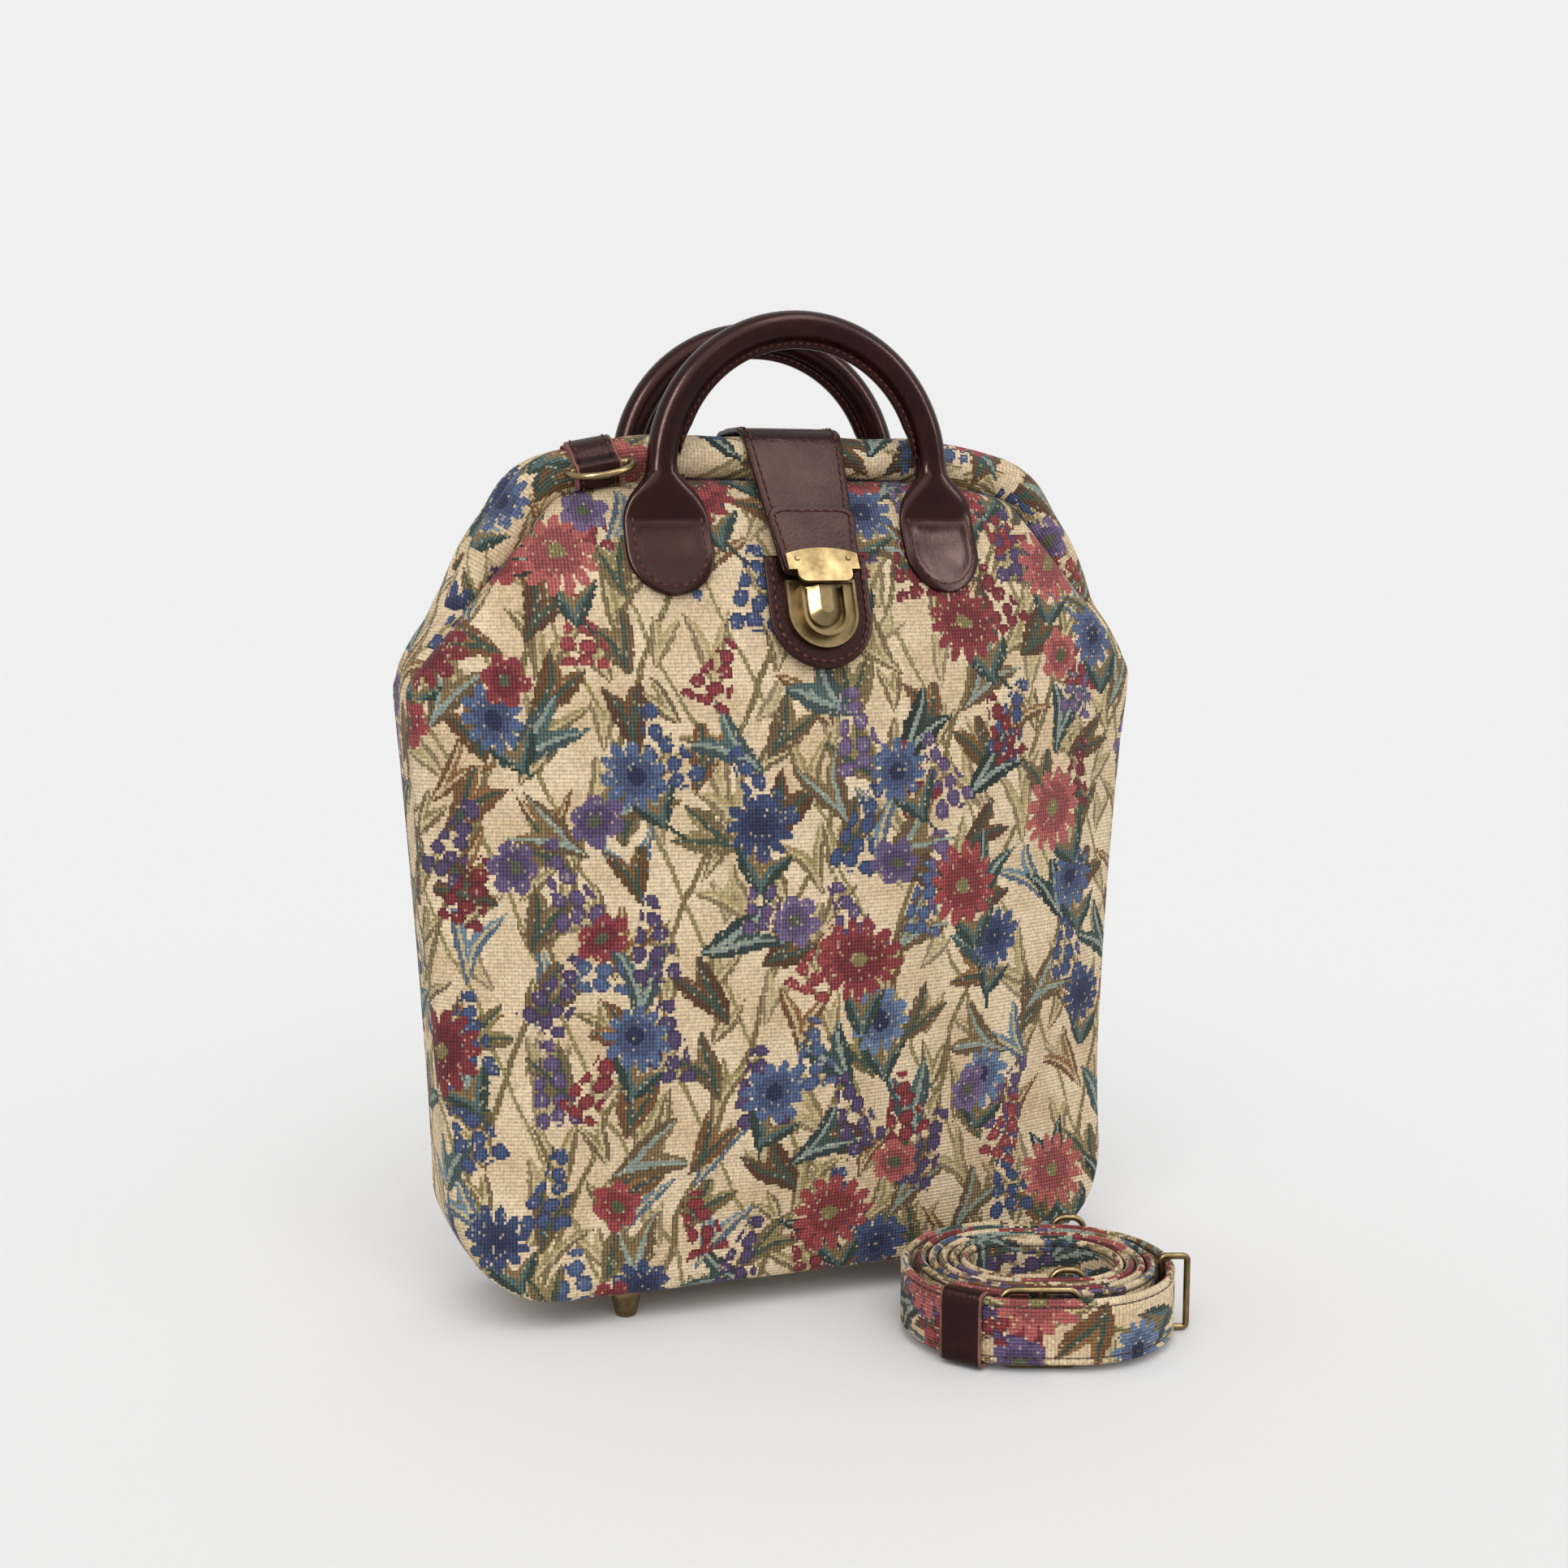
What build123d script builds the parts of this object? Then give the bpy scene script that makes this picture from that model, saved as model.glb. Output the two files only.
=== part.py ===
from build123d import *
from math import atan2, cos, degrees, hypot, radians, sin, asin, sqrt
import os

# Tapestry frame-mouth backpack, millimetres, front towards -Y, +Z up, floor at Z = 0.

# General clearances and cloth
gap = 0.3
wall = 3.0
far = 260.0

# Front outline of the bag, half of it, seen along Y
floor_clear = 14.0
shoulder_half = 181.0
shoulder_z = 297.0
shoulder_round = 18.0
side_taper = 17.5
base_half = shoulder_half - side_taper
base_round = 45.0
slope_z = 380.0
mouth_z = 388.0

# Skin of the bag: at each height the half depth at the middle and at the side seam
skin_z = (14.0, 50.0, 90.0, 150.0, 220.0, 260.0, 290.0, 310.0, 331.0, 350.0, 370.0, 388.0)
skin_mid = (46.0, 53.0, 59.5, 65.0, 67.0, 67.0, 65.0, 61.8, 55.5, 48.2, 36.0, 24.0)
skin_edge = (43.0, 28.0, 18.5, 14.0, 14.0, 16.0, 20.0, 23.5, 25.5, 25.5, 24.5, 22.8)
skin_half_shares = (0.931, 0.945, 0.956, 0.975, 0.997, 1.014, 1.017, 0.972, 0.873, 0.785, 0.691, 0.608)
skin_half = [shoulder_half * share for share in skin_half_shares]
seam_step = 1.5
gusset_top = 322.0

# Base board and feet
board_side = 46.5
board_half_x = base_half - board_side
board_half_y = 37.0
board_thick = 2.5
board_round = 12.0
foot_in_x = 31.0
foot_in_y = 8.0
foot_x = board_half_x - foot_in_x
foot_y = board_half_y - foot_in_y
pierce = 9.0
foot_top_r = 8.6
foot_neck_r = 7.4
foot_low_r = 4.8
foot_band = 2.6
stem_r = 2.0
stem_fit = 0.2
nut_r = 4.6
nut_thick = 3.0
nut_chamfer = 0.6

# Handles: rolled leather, semicircular, with spade-shaped sewn tabs
handle_half = 66.0
handle_r = 7.0
handle_y = 30.2
handle_foot_z = 391.0
tab_r = 19.5
tab_mid_z = 355.5
tab_side_z = 369.0
tab_shoulder_half = 16.2
tab_shoulder_z = 379.6
tab_neck_half = 8.0
tab_neck_z = 387.0
tab_thick = 3.4
neck_z = (391.0, 382.0, 372.0, 361.0)
neck_half_x = (7.0, 7.6, 10.0, 14.5)
neck_half_y = (7.0, 6.4, 5.0, 3.2)
neck_y = (30.2, 34.0, 38.6, 42.6)

# Ring loops and D-rings on the rims
loop_half = 11.0
loop_thick = 1.3
loop_back = 5.0
loop_low = 8.4
ring_wire_r = 1.5
ring_bar_half = 12.0
ring_corner = 3.0
ring_bow_r = 15.0
ring_fit = 0.25
eye_thick = 1.4
ring_droop = 12.0
ring_clear = 4.5
ring_side = ring_bar_half + ring_corner
loop_x = handle_half + handle_r + ring_clear + ring_wire_r + ring_side

# Mouth frame: two padded rims on steel rods, hinged low at each side
rim_y = 11.0
rim_r = 10.7
rim_top_z = 397.5
rim_flat_over = 4.0
rim_flat_half = handle_half + rim_flat_over
rim_corner_run = 13.0
rim_corner_half = loop_x + loop_half + rim_corner_run
rim_corner_z = 388.0
rim_bend = 30.0
hinge_in = 28.0
hinge_half = shoulder_half - hinge_in
hinge_above = 8.0
hinge_z = gusset_top + hinge_above
rod_rise = 6.0
rod_end_z = hinge_z + rod_rise
rod_r = 3.0
sleeve_fit = 0.3
sleeve_share = 0.80
lug_thick = 3.0
lug_gap = 0.2
lug_wide = 10.0
pin_r = 2.0
pin_fit = 0.08
pin_head_r = 3.6
pin_head = 1.6
pin_side = 0.25
slope_in = 6.0
slope_half = rim_corner_half - slope_in
mouth_in = 1.0
mouth_half = rim_flat_half - mouth_in

# Closing tab, tongue and lock
strap_half = 25.0
strap_tip_half = 17.6
strap_thick = 3.0
strap_clear = 0.7
strap_back_z = 390.0
strap_tip_y = -57.0
strap_tip_z = 344.0
strap_bend = 11.0
strap_tip_round = 6.0
overlay_half = 21.6
overlay_tip_half = 17.3
overlay_long = 34.0
overlay_thick = 2.2
overlay_round = 6.5
tongue_half = 17.0
tongue_long = 11.0
tongue_arch = 3.0
tongue_thick = 1.6
lip_half = 13.0
lip_long = 6.0
lip_round = 4.0
rivet_x = 12.2
rivet_y = 5.3
rivet_r = 1.3
rivet_dome = 0.7
rivet_taper = 35.0
lock_z = 328.0
lock_lean = 20.0
patch_half = 24.5
patch_top = 27.0
patch_low = 26.0
patch_thick = 2.8
patch_depth = 12.0
plate_half = 16.6
plate_top = 14.5
plate_mid = -0.6
plate_thick = 1.3
plate_rim = 1.3
plate_rim_high = 1.2
bezel_half = 10.9
bezel_wall = 1.7
bezel_high = 4.2
bezel_top = 11.0
bezel_mid = -1.6
thumb_fit = 1.1
thumb_top = 10.6
thumb_mid = 0.6
thumb_base = 1.8
thumb_high = 5.8
thumb_ridge = 3.0
thumb_lift = 0.3

# Detached strap, rolled up on edge beside the bag
coil_x = 88.0
coil_y = -109.5
coil_turn = -20.0
coil_straight = 11.0
band_thick = 3.6
band_high = 30.0
band_z = 3.6
coil_start_u = 1.0
coil_runs = (22.0, 24.4, 26.8, 29.2, 31.6, 34.0, 36.4, 38.8, 41.2, 44.4, 52.2, 49.2)
keeper_angle = 238.0
keeper_half = 10.0
keeper_thick = 1.4
keeper_room = 1.6
wire_r = 1.5
buckle_u = -5.0
buckle_half = 17.0
buckle_round = 5.0
loop_ring_out = 6.0
loop_ring_round = 2.0
end_ring_long = 15.0
end_ring_round = 6.0
wire_clear = 0.3


def skin(grow):
    """Closed pillow form of the bag, grown outwards by a wall or clearance."""
    with BuildPart() as form:
        for z, mid, edge, half in zip(skin_z, skin_mid, skin_edge, skin_half):
            with BuildSketch(Plane.XY.offset(z)):
                with BuildLine():
                    ThreePointArc((-half, -edge - grow), (0, -mid - grow), (half, -edge - grow))
                    Line((half, -edge - grow), (half, edge + grow))
                    ThreePointArc((half, edge + grow), (0, mid + grow), (-half, edge + grow))
                    Line((-half, edge + grow), (-half, -edge - grow))
                make_face()
        loft()
    return form.part


def outline(inset):
    """Front outline of the bag as a sketch in XZ, drawn in by a wall."""
    with BuildSketch(Plane.XZ) as face:
        with BuildLine():
            Polyline(
                (base_half - inset, floor_clear + inset),
                (shoulder_half - inset, shoulder_z),
                (slope_half, slope_z),
                (mouth_half, mouth_z),
                (-mouth_half, mouth_z),
                (-slope_half, slope_z),
                (inset - shoulder_half, shoulder_z),
                (inset - base_half, floor_clear + inset),
                close=True,
            )
        make_face()
        fillet(face.vertices().group_by(Axis.Y)[0], base_round - inset)
        fillet(face.vertices().group_by(Axis.X)[0], shoulder_round)
        fillet(face.vertices().group_by(Axis.X)[-1], shoulder_round)
    return face.sketch


def seam_prism(step):
    """Zone between the two long seams, where the gusset strip runs."""
    rows = [(z, edge) for z, edge in zip(skin_z, skin_edge) if z < gusset_top]
    low = (floor_clear - wall, skin_edge[0])
    rows = [low] + rows + [(gusset_top + step, rows[-1][1])]
    with BuildPart() as zone:
        with BuildSketch(Plane.YZ):
            with BuildLine():
                near = [(-edge + seam_step - step, z) for z, edge in rows]
                back = [(edge - seam_step + step, z) for z, edge in reversed(rows)]
                Polyline(*near, *back, close=True)
            make_face()
        extrude(amount=far, both=True)
    return zone.part


def skin_mid_at(z):
    """Half depth of the bag on its middle line at a height."""
    for low, high, a, b in zip(skin_z, skin_z[1:], skin_mid, skin_mid[1:]):
        if low <= z <= high:
            return a + (b - a) * (z - low) / (high - low)
    return skin_mid[-1]


skin_outer = skin(0)
skin_inner = skin(-wall)
skin_seat = skin(gap)
skin_tab = skin(gap + tab_thick)

# Cloth shell of the bag, still in one piece
with BuildPart() as shell:
    add(skin_outer)
    extrude(outline(0), amount=far, both=True, mode=Mode.INTERSECT)

with BuildPart() as inside:
    add(skin_inner)
    extrude(outline(wall), amount=far, both=True, mode=Mode.INTERSECT)

with BuildPart() as mouth:
    add(skin_inner)
    with BuildSketch(Plane.XY.offset(gusset_top)):
        Rectangle(2 * far, 2 * far)
    extrude(amount=far, mode=Mode.INTERSECT)

with BuildPart() as hollow:
    add(shell.part)
    add(inside.part, mode=Mode.SUBTRACT)
    add(mouth.part, mode=Mode.SUBTRACT)

# Front and back panels
with BuildPart() as front_panel:
    add(hollow.part)
    add(seam_prism(gap), mode=Mode.SUBTRACT)
    split(bisect_by=Plane.XZ, keep=Keep.TOP)

with BuildPart() as back_panel:
    add(hollow.part)
    add(seam_prism(gap), mode=Mode.SUBTRACT)
    split(bisect_by=Plane.XZ, keep=Keep.BOTTOM)

# Gusset strip: sides and bottom in one, pierced for the feet
with BuildPart() as gusset:
    add(hollow.part)
    add(seam_prism(0), mode=Mode.INTERSECT)
    with BuildSketch(Plane.XY.offset(floor_clear - wall)):
        with GridLocations(2 * foot_x, 2 * foot_y, 2, 2):
            Circle(stem_r + stem_fit)
    extrude(amount=pierce, mode=Mode.SUBTRACT)

# Stiff board on the bottom of the bag
board_z = floor_clear + wall
with BuildPart() as base_board:
    with BuildSketch(Plane.XY.offset(board_z)):
        RectangleRounded(2 * board_half_x, 2 * board_half_y, board_round)
        with GridLocations(2 * foot_x, 2 * foot_y, 2, 2):
            Circle(stem_r + stem_fit, mode=Mode.SUBTRACT)
    extrude(amount=board_thick)

# Cone feet, each turned in one with its stem
with BuildPart() as foot:
    with BuildSketch(Plane.XZ):
        with BuildLine():
            Polyline(
                (0, 0),
                (foot_low_r, 0),
                (foot_neck_r, floor_clear - foot_band),
                (foot_top_r, floor_clear - foot_band),
                (foot_top_r, floor_clear),
                (stem_r, floor_clear),
                (stem_r, board_z + board_thick + nut_thick),
                (0, board_z + board_thick + nut_thick),
                close=True,
            )
        make_face()
    revolve(axis=Axis.Z)
    foot_rims = foot.edges().filter_by(GeomType.CIRCLE).group_by(Axis.Z)[0]
    fillet(foot_rims, nut_chamfer)

with BuildPart() as feet:
    with GridLocations(2 * foot_x, 2 * foot_y, 2, 2):
        add(foot.part)

with BuildPart() as foot_nuts:
    with BuildSketch(Plane.XY.offset(board_z + board_thick)):
        with GridLocations(2 * foot_x, 2 * foot_y, 2, 2):
            RegularPolygon(nut_r, 6)
            Circle(stem_r + stem_fit, mode=Mode.SUBTRACT)
    extrude(amount=nut_thick)

# Mouth frame, front half: rod with forged eyes, and the padded sleeve on it
rod_foot = (hinge_half, rod_end_z)
sleeve_foot = (
    rim_corner_half + (hinge_half - rim_corner_half) * sleeve_share,
    rim_corner_z + (rod_end_z - rim_corner_z) * sleeve_share,
)


def rim_points(foot_point):
    """Half-frame line from foot to foot: slope, shallow shoulder, flat top and back down."""
    right = [(rim_flat_half, rim_top_z), (rim_corner_half, rim_corner_z), foot_point]
    left = [(-x, z) for x, z in reversed(right)]
    return left + right


lug_run = hypot(rim_y, rod_end_z - hinge_z)
lug_angle = degrees(atan2(rod_end_z - hinge_z, -rim_y))


def frame_rod(lug_start):
    """Front steel rod with an eye plate at each foot, starting at a given place along X."""
    with BuildPart() as rod:
        with BuildLine(Plane.XZ.offset(rim_y)) as line:
            FilletPolyline(*rim_points(rod_foot), radius=rim_bend)
        with BuildSketch(Plane(line.wire() @ 0, z_dir=line.wire() % 0)):
            Circle(rod_r)
        sweep(path=line.wire())
        for side in (1, -1):
            with BuildSketch(Plane.YZ.offset(side * lug_start)):
                with Locations((-rim_y / 2, (rod_end_z + hinge_z) / 2)):
                    SlotCenterToCenter(lug_run, lug_wide, rotation=lug_angle)
            extrude(amount=side * lug_thick)
            with BuildSketch(Plane.YZ.offset(side * (hinge_half - lug_wide))):
                with Locations((0, hinge_z)):
                    Circle(pin_r + pin_fit)
            extrude(amount=side * 2 * lug_wide, mode=Mode.SUBTRACT)
    return rod.part


front_lug = hinge_half - lug_thick / 2
back_lug = front_lug + lug_thick + lug_gap
with BuildPart() as front_frame_rod:
    add(frame_rod(front_lug))

with BuildPart() as back_frame_rod:
    add(mirror(frame_rod(back_lug), about=Plane.XZ, mode=Mode.PRIVATE))

with BuildPart() as front_rim_sleeve:
    with BuildLine(Plane.XZ.offset(rim_y)) as sleeve_line:
        FilletPolyline(*rim_points(sleeve_foot), radius=rim_bend)
    with BuildSketch(Plane(sleeve_line.wire() @ 0, z_dir=sleeve_line.wire() % 0)):
        Circle(rim_r)
        Circle(rod_r + sleeve_fit, mode=Mode.SUBTRACT)
    sweep(path=sleeve_line.wire())

with BuildPart() as back_rim_sleeve:
    add(mirror(front_rim_sleeve.part, about=Plane.XZ, mode=Mode.PRIVATE))

# Hinge rivets through both eyes at each side
pin_start = front_lug - pin_side
pin_long = 2 * lug_thick + lug_gap + 2 * pin_side
with BuildPart() as hinge_rivets:
    for side in (1, -1):
        with BuildSketch(Plane.YZ.offset(side * pin_start)):
            with Locations((0, hinge_z)):
                Circle(pin_r)
        extrude(amount=side * pin_long)
        with BuildSketch(Plane.YZ.offset(side * pin_start)):
            with Locations((0, hinge_z)):
                Circle(pin_head_r)
        extrude(amount=-side * pin_head)
        with BuildSketch(Plane.YZ.offset(side * (pin_start + pin_long))):
            with Locations((0, hinge_z)):
                Circle(pin_head_r)
        extrude(amount=side * pin_head)

# Rolled handle: half-ring grip, necks that flatten, and spade tabs that lie on the panel
with BuildPart() as spade_tabs:
    with BuildSketch(Plane.XZ):
        for side in (1, -1):
            with BuildLine():
                Polyline(
                    (side * (handle_half - tab_r), tab_mid_z),
                    (side * (handle_half - tab_r), tab_side_z),
                    (side * (handle_half - tab_shoulder_half), tab_shoulder_z),
                    (side * (handle_half - tab_neck_half), tab_neck_z),
                    (side * (handle_half + tab_neck_half), tab_neck_z),
                    (side * (handle_half + tab_shoulder_half), tab_shoulder_z),
                    (side * (handle_half + tab_r), tab_side_z),
                    (side * (handle_half + tab_r), tab_mid_z),
                    close=True,
                )
            make_face()
            with Locations((side * handle_half, tab_mid_z)):
                Circle(tab_r)
    extrude(amount=far)
    add(skin_tab, mode=Mode.INTERSECT)


def handle_neck(side):
    """Neck that flattens from the round grip into the tab."""
    with BuildPart() as neck:
        for z, half_x, half_y, y in zip(neck_z, neck_half_x, neck_half_y, neck_y):
            with BuildSketch(Plane((side * handle_half, -y, z))):
                Ellipse(half_x, half_y)
        loft()
    return neck.part


with BuildPart() as front_handle:
    add(spade_tabs.part)
    for side in (1, -1):
        add(handle_neck(side))
    with BuildLine(Plane.XZ.offset(handle_y)) as grip:
        ThreePointArc(
            (-handle_half, handle_foot_z), (0, handle_foot_z + handle_half), (handle_half, handle_foot_z)
        )
    with BuildSketch(Plane(grip.wire() @ 0, z_dir=grip.wire() % 0)):
        Circle(handle_r)
    sweep(path=grip.wire())
    add(skin_seat, mode=Mode.SUBTRACT)

with BuildPart() as back_handle:
    add(mirror(front_handle.part, about=Plane.XZ, mode=Mode.PRIVATE))

# Ring loop: leather round the front of the rim, ending in an eye for the ring's bar
slope_run = hypot(rim_corner_half - rim_flat_half, rim_top_z - rim_corner_z)
slope_x = (rim_corner_half - rim_flat_half) / slope_run
slope_rise = (rim_top_z - rim_corner_z) / slope_run
loop_z = rim_top_z - (loop_x - rim_flat_half) * slope_rise / slope_x
loop_in = rim_r + gap
eye_reach = loop_in + loop_thick + ring_wire_r + ring_fit
loop_plane = Plane((-loop_x, -rim_y, loop_z), x_dir=(0, -1, 0), z_dir=(slope_x, 0, slope_rise))
with BuildPart() as front_ring_loop:
    with BuildSketch(loop_plane):
        Circle(loop_in + loop_thick)
        with Locations((-loop_back - far / 2, 0)):
            Rectangle(far, far, mode=Mode.SUBTRACT)
        with Locations((0, loop_low + far / 2)):
            Rectangle(far, far, mode=Mode.SUBTRACT)
        with Locations((eye_reach, 0)):
            Circle(ring_wire_r + ring_fit + eye_thick)
        Circle(loop_in, mode=Mode.SUBTRACT)
        with Locations((eye_reach, 0)):
            Circle(ring_wire_r + ring_fit, mode=Mode.SUBTRACT)
    extrude(amount=loop_half, both=True)

ring_centre = loop_plane.from_local_coords((eye_reach, 0, 0))
ring_out = Vector(0, -cos(radians(ring_droop)), -sin(radians(ring_droop)))
ring_bar = Vector(slope_x, 0, slope_rise)
ring_plane = Plane(ring_centre, x_dir=ring_bar, z_dir=ring_bar.cross(ring_out))
ring_nook = ring_corner * (1 - sqrt(0.5))
with BuildPart() as front_d_ring:
    with BuildLine(ring_plane) as d_line:
        Line((-ring_bar_half, 0), (ring_bar_half, 0))
        ThreePointArc((ring_bar_half, 0), (ring_side - ring_nook, ring_nook), (ring_side, ring_corner))
        ThreePointArc((ring_side, ring_corner), (0, ring_corner + ring_bow_r), (-ring_side, ring_corner))
        ThreePointArc((-ring_side, ring_corner), (ring_nook - ring_side, ring_nook), (-ring_bar_half, 0))
    with BuildSketch(Plane(d_line.wire() @ 0, z_dir=d_line.wire() % 0)):
        Circle(ring_wire_r)
    sweep(path=d_line.wire())

with BuildPart() as back_ring_loop:
    add(front_ring_loop.part.rotate(Axis.Z, 180))

with BuildPart() as back_d_ring:
    add(front_d_ring.part.rotate(Axis.Z, 180))

# Closing tab: leather from the back seam over both rims and down to the lock
rim_hug = rim_r + strap_clear
tip_run = hypot(strap_tip_y + rim_y, strap_tip_z - rim_top_z)
tip_lean = atan2(rim_top_z - strap_tip_z, -rim_y - strap_tip_y) + asin(rim_hug / tip_run)
strap_top_z = rim_top_z + rim_hug
strap_bow_y = strap_tip_y + (strap_top_z - strap_tip_z) / sin(tip_lean) * cos(tip_lean)
with BuildPart() as closing_tab:
    with BuildSketch(Plane.YZ):
        with BuildLine() as tab_line:
            FilletPolyline(
                (rim_y + rim_hug, strap_back_z),
                (rim_y + rim_hug, strap_top_z),
                (strap_bow_y, strap_top_z),
                (strap_tip_y, strap_tip_z),
                radius=strap_bend,
            )
            offset(amount=strap_thick, side=Side.RIGHT)
        make_face()
    extrude(amount=strap_half, both=True)
    with BuildSketch(Plane.XZ):
        with BuildLine():
            Polyline(
                (-strap_tip_half, strap_tip_z - strap_thick),
                (strap_tip_half, strap_tip_z - strap_thick),
                (strap_half, strap_top_z + 2 * strap_thick),
                (-strap_half, strap_top_z + 2 * strap_thick),
                close=True,
            )
        make_face()
    extrude(amount=far, both=True, mode=Mode.INTERSECT)

# Plane on the outer face of the tab at its tip, local y up along the tab
tip_up = Vector(0, cos(tip_lean), sin(tip_lean))
tip_out = Vector(0, -sin(tip_lean), cos(tip_lean))
tip_point = Vector(0, strap_tip_y, strap_tip_z)
tip_plane = Plane(tip_point + tip_out * strap_thick, x_dir=(1, 0, 0), z_dir=tip_out)
with BuildPart() as tab_overlay:
    with BuildSketch(tip_plane) as overlay_face:
        with BuildLine():
            Polyline(
                (-overlay_tip_half, 0),
                (overlay_tip_half, 0),
                (overlay_half, overlay_long),
                (-overlay_half, overlay_long),
                close=True,
            )
        make_face()
        fillet(overlay_face.vertices().group_by(Axis.Y)[-1], overlay_round)
    extrude(amount=overlay_thick)

plate_plane = tip_plane.offset(overlay_thick)
with BuildPart() as tongue_plate:
    with BuildSketch(plate_plane):
        with BuildLine():
            Line((-tongue_half, 0), (tongue_half, 0))
            Line((tongue_half, 0), (tongue_half, tongue_long - tongue_arch))
            ThreePointArc(
                (tongue_half, tongue_long - tongue_arch),
                (0, tongue_long),
                (-tongue_half, tongue_long - tongue_arch),
            )
            Line((-tongue_half, tongue_long - tongue_arch), (-tongue_half, 0))
        make_face()
    extrude(amount=tongue_thick)
    with BuildSketch(plate_plane):
        with Locations((0, -lip_long / 2)):
            lip_face = Rectangle(2 * lip_half, lip_long)
        fillet(lip_face.vertices().group_by(Axis.Y)[0], lip_round)
    extrude(amount=tongue_thick)

with BuildPart() as tongue_rivets:
    with BuildSketch(plate_plane.offset(tongue_thick)):
        with GridLocations(2 * rivet_x, 0, 2, 1):
            with Locations((0, rivet_y)):
                Circle(rivet_r)
    extrude(amount=rivet_dome, taper=rivet_taper)

# Lock: sewn patch on the panel, dished plate with a U bezel, and the sliding thumb
lock_lean_r = radians(lock_lean)
lock_out = Vector(0, -cos(lock_lean_r), sin(lock_lean_r))
lock_seat_y = skin_mid_at(lock_z) + gap + patch_thick
lock_plane = Plane((0, -lock_seat_y, lock_z), x_dir=(1, 0, 0), z_dir=lock_out)
with BuildPart() as lock_patch:
    with BuildSketch(lock_plane):
        with BuildLine():
            Line((-patch_half, patch_top), (patch_half, patch_top))
            Line((patch_half, patch_top), (patch_half, patch_half - patch_low))
            ThreePointArc(
                (patch_half, patch_half - patch_low), (0, -patch_low), (-patch_half, patch_half - patch_low)
            )
            Line((-patch_half, patch_half - patch_low), (-patch_half, patch_top))
        make_face()
    extrude(amount=-patch_depth)
    add(skin_seat, mode=Mode.SUBTRACT)


def u_face(plane, half, top, mid):
    """U outline on a plane of the lock: straight top, straight sides, round foot."""
    with BuildSketch(plane) as u:
        with BuildLine():
            Line((-half, top), (half, top))
            Line((half, top), (half, mid))
            ThreePointArc((half, mid), (0, mid - half), (-half, mid))
            Line((-half, mid), (-half, top))
        make_face()
    return u.sketch


dish_plane = lock_plane.offset(plate_thick)
dish_half = plate_half - plate_rim
well_half = bezel_half - bezel_wall
with BuildPart() as lock_plate:
    extrude(u_face(lock_plane, plate_half, plate_top, plate_mid), amount=plate_thick + plate_rim_high)
    dish = u_face(dish_plane, dish_half, plate_top - plate_rim, plate_mid)
    extrude(dish, amount=plate_rim_high, mode=Mode.SUBTRACT)
    extrude(u_face(lock_plane, bezel_half, bezel_top, bezel_mid), amount=plate_thick + bezel_high)
    extrude(u_face(dish_plane, well_half, bezel_top, bezel_mid), amount=bezel_high, mode=Mode.SUBTRACT)

thumb_plane = dish_plane.offset(thumb_lift)
snug = well_half - thumb_fit
with BuildPart() as lock_thumb:
    extrude(u_face(thumb_plane, snug, thumb_top, thumb_mid), amount=thumb_base)
    thumb_foot = u_face(thumb_plane.offset(thumb_base), snug, thumb_top, thumb_mid)
    thumb_face = u_face(thumb_plane.offset(thumb_high), thumb_ridge, thumb_top, thumb_mid)
    loft([thumb_foot, thumb_face], ruled=True)

# Detached strap: doubled band wound on edge, straight runs joined by tangent half turns
coil_plane = Plane(
    (coil_x, coil_y, band_z + band_high / 2),
    x_dir=(cos(radians(coil_turn)), sin(radians(coil_turn)), 0),
    z_dir=(0, 0, 1),
)
with BuildPart() as strap_band:
    with BuildLine(coil_plane) as coil:
        Line((coil_start_u, -coil_runs[0]), (-coil_straight, -coil_runs[0]))
        for turn, (here, there) in enumerate(zip(coil_runs, coil_runs[1:])):
            side = -1 if turn % 2 == 0 else 1
            start = side * here
            end = -side * there
            bow_u = side * (coil_straight + (here + there) / 2)
            ThreePointArc(
                (side * coil_straight, start), (bow_u, (start + end) / 2), (side * coil_straight, end)
            )
            Line((side * coil_straight, end), (-side * coil_straight, end))
    with BuildSketch(Plane(coil.wire() @ 0, x_dir=(0, 0, 1), z_dir=coil.wire() % 0)):
        Rectangle(band_high, band_thick)
    sweep(path=coil.wire())

# Leather keeper round the outer turn
outer_r = (coil_runs[-2] + coil_runs[-1]) / 2
outer_v = (coil_runs[-1] - coil_runs[-2]) / 2
keeper_u = -coil_straight + outer_r * cos(radians(keeper_angle))
keeper_v = outer_v + outer_r * sin(radians(keeper_angle))
keeper_axis = coil_plane.x_dir * -sin(radians(keeper_angle)) + coil_plane.y_dir * cos(radians(keeper_angle))
keeper_plane = Plane(
    coil_plane.from_local_coords((keeper_u, keeper_v, 0)), x_dir=(0, 0, 1), z_dir=keeper_axis
)
keeper_high = band_high + 2 * gap
keeper_wide = band_thick + 2 * keeper_room
with BuildPart() as strap_keeper:
    with BuildSketch(keeper_plane):
        RectangleRounded(
            keeper_high + 2 * keeper_thick, keeper_wide + 2 * keeper_thick, keeper_room + keeper_thick
        )
        RectangleRounded(keeper_high, keeper_wide, keeper_room, mode=Mode.SUBTRACT)
    extrude(amount=keeper_half, both=True)

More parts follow.
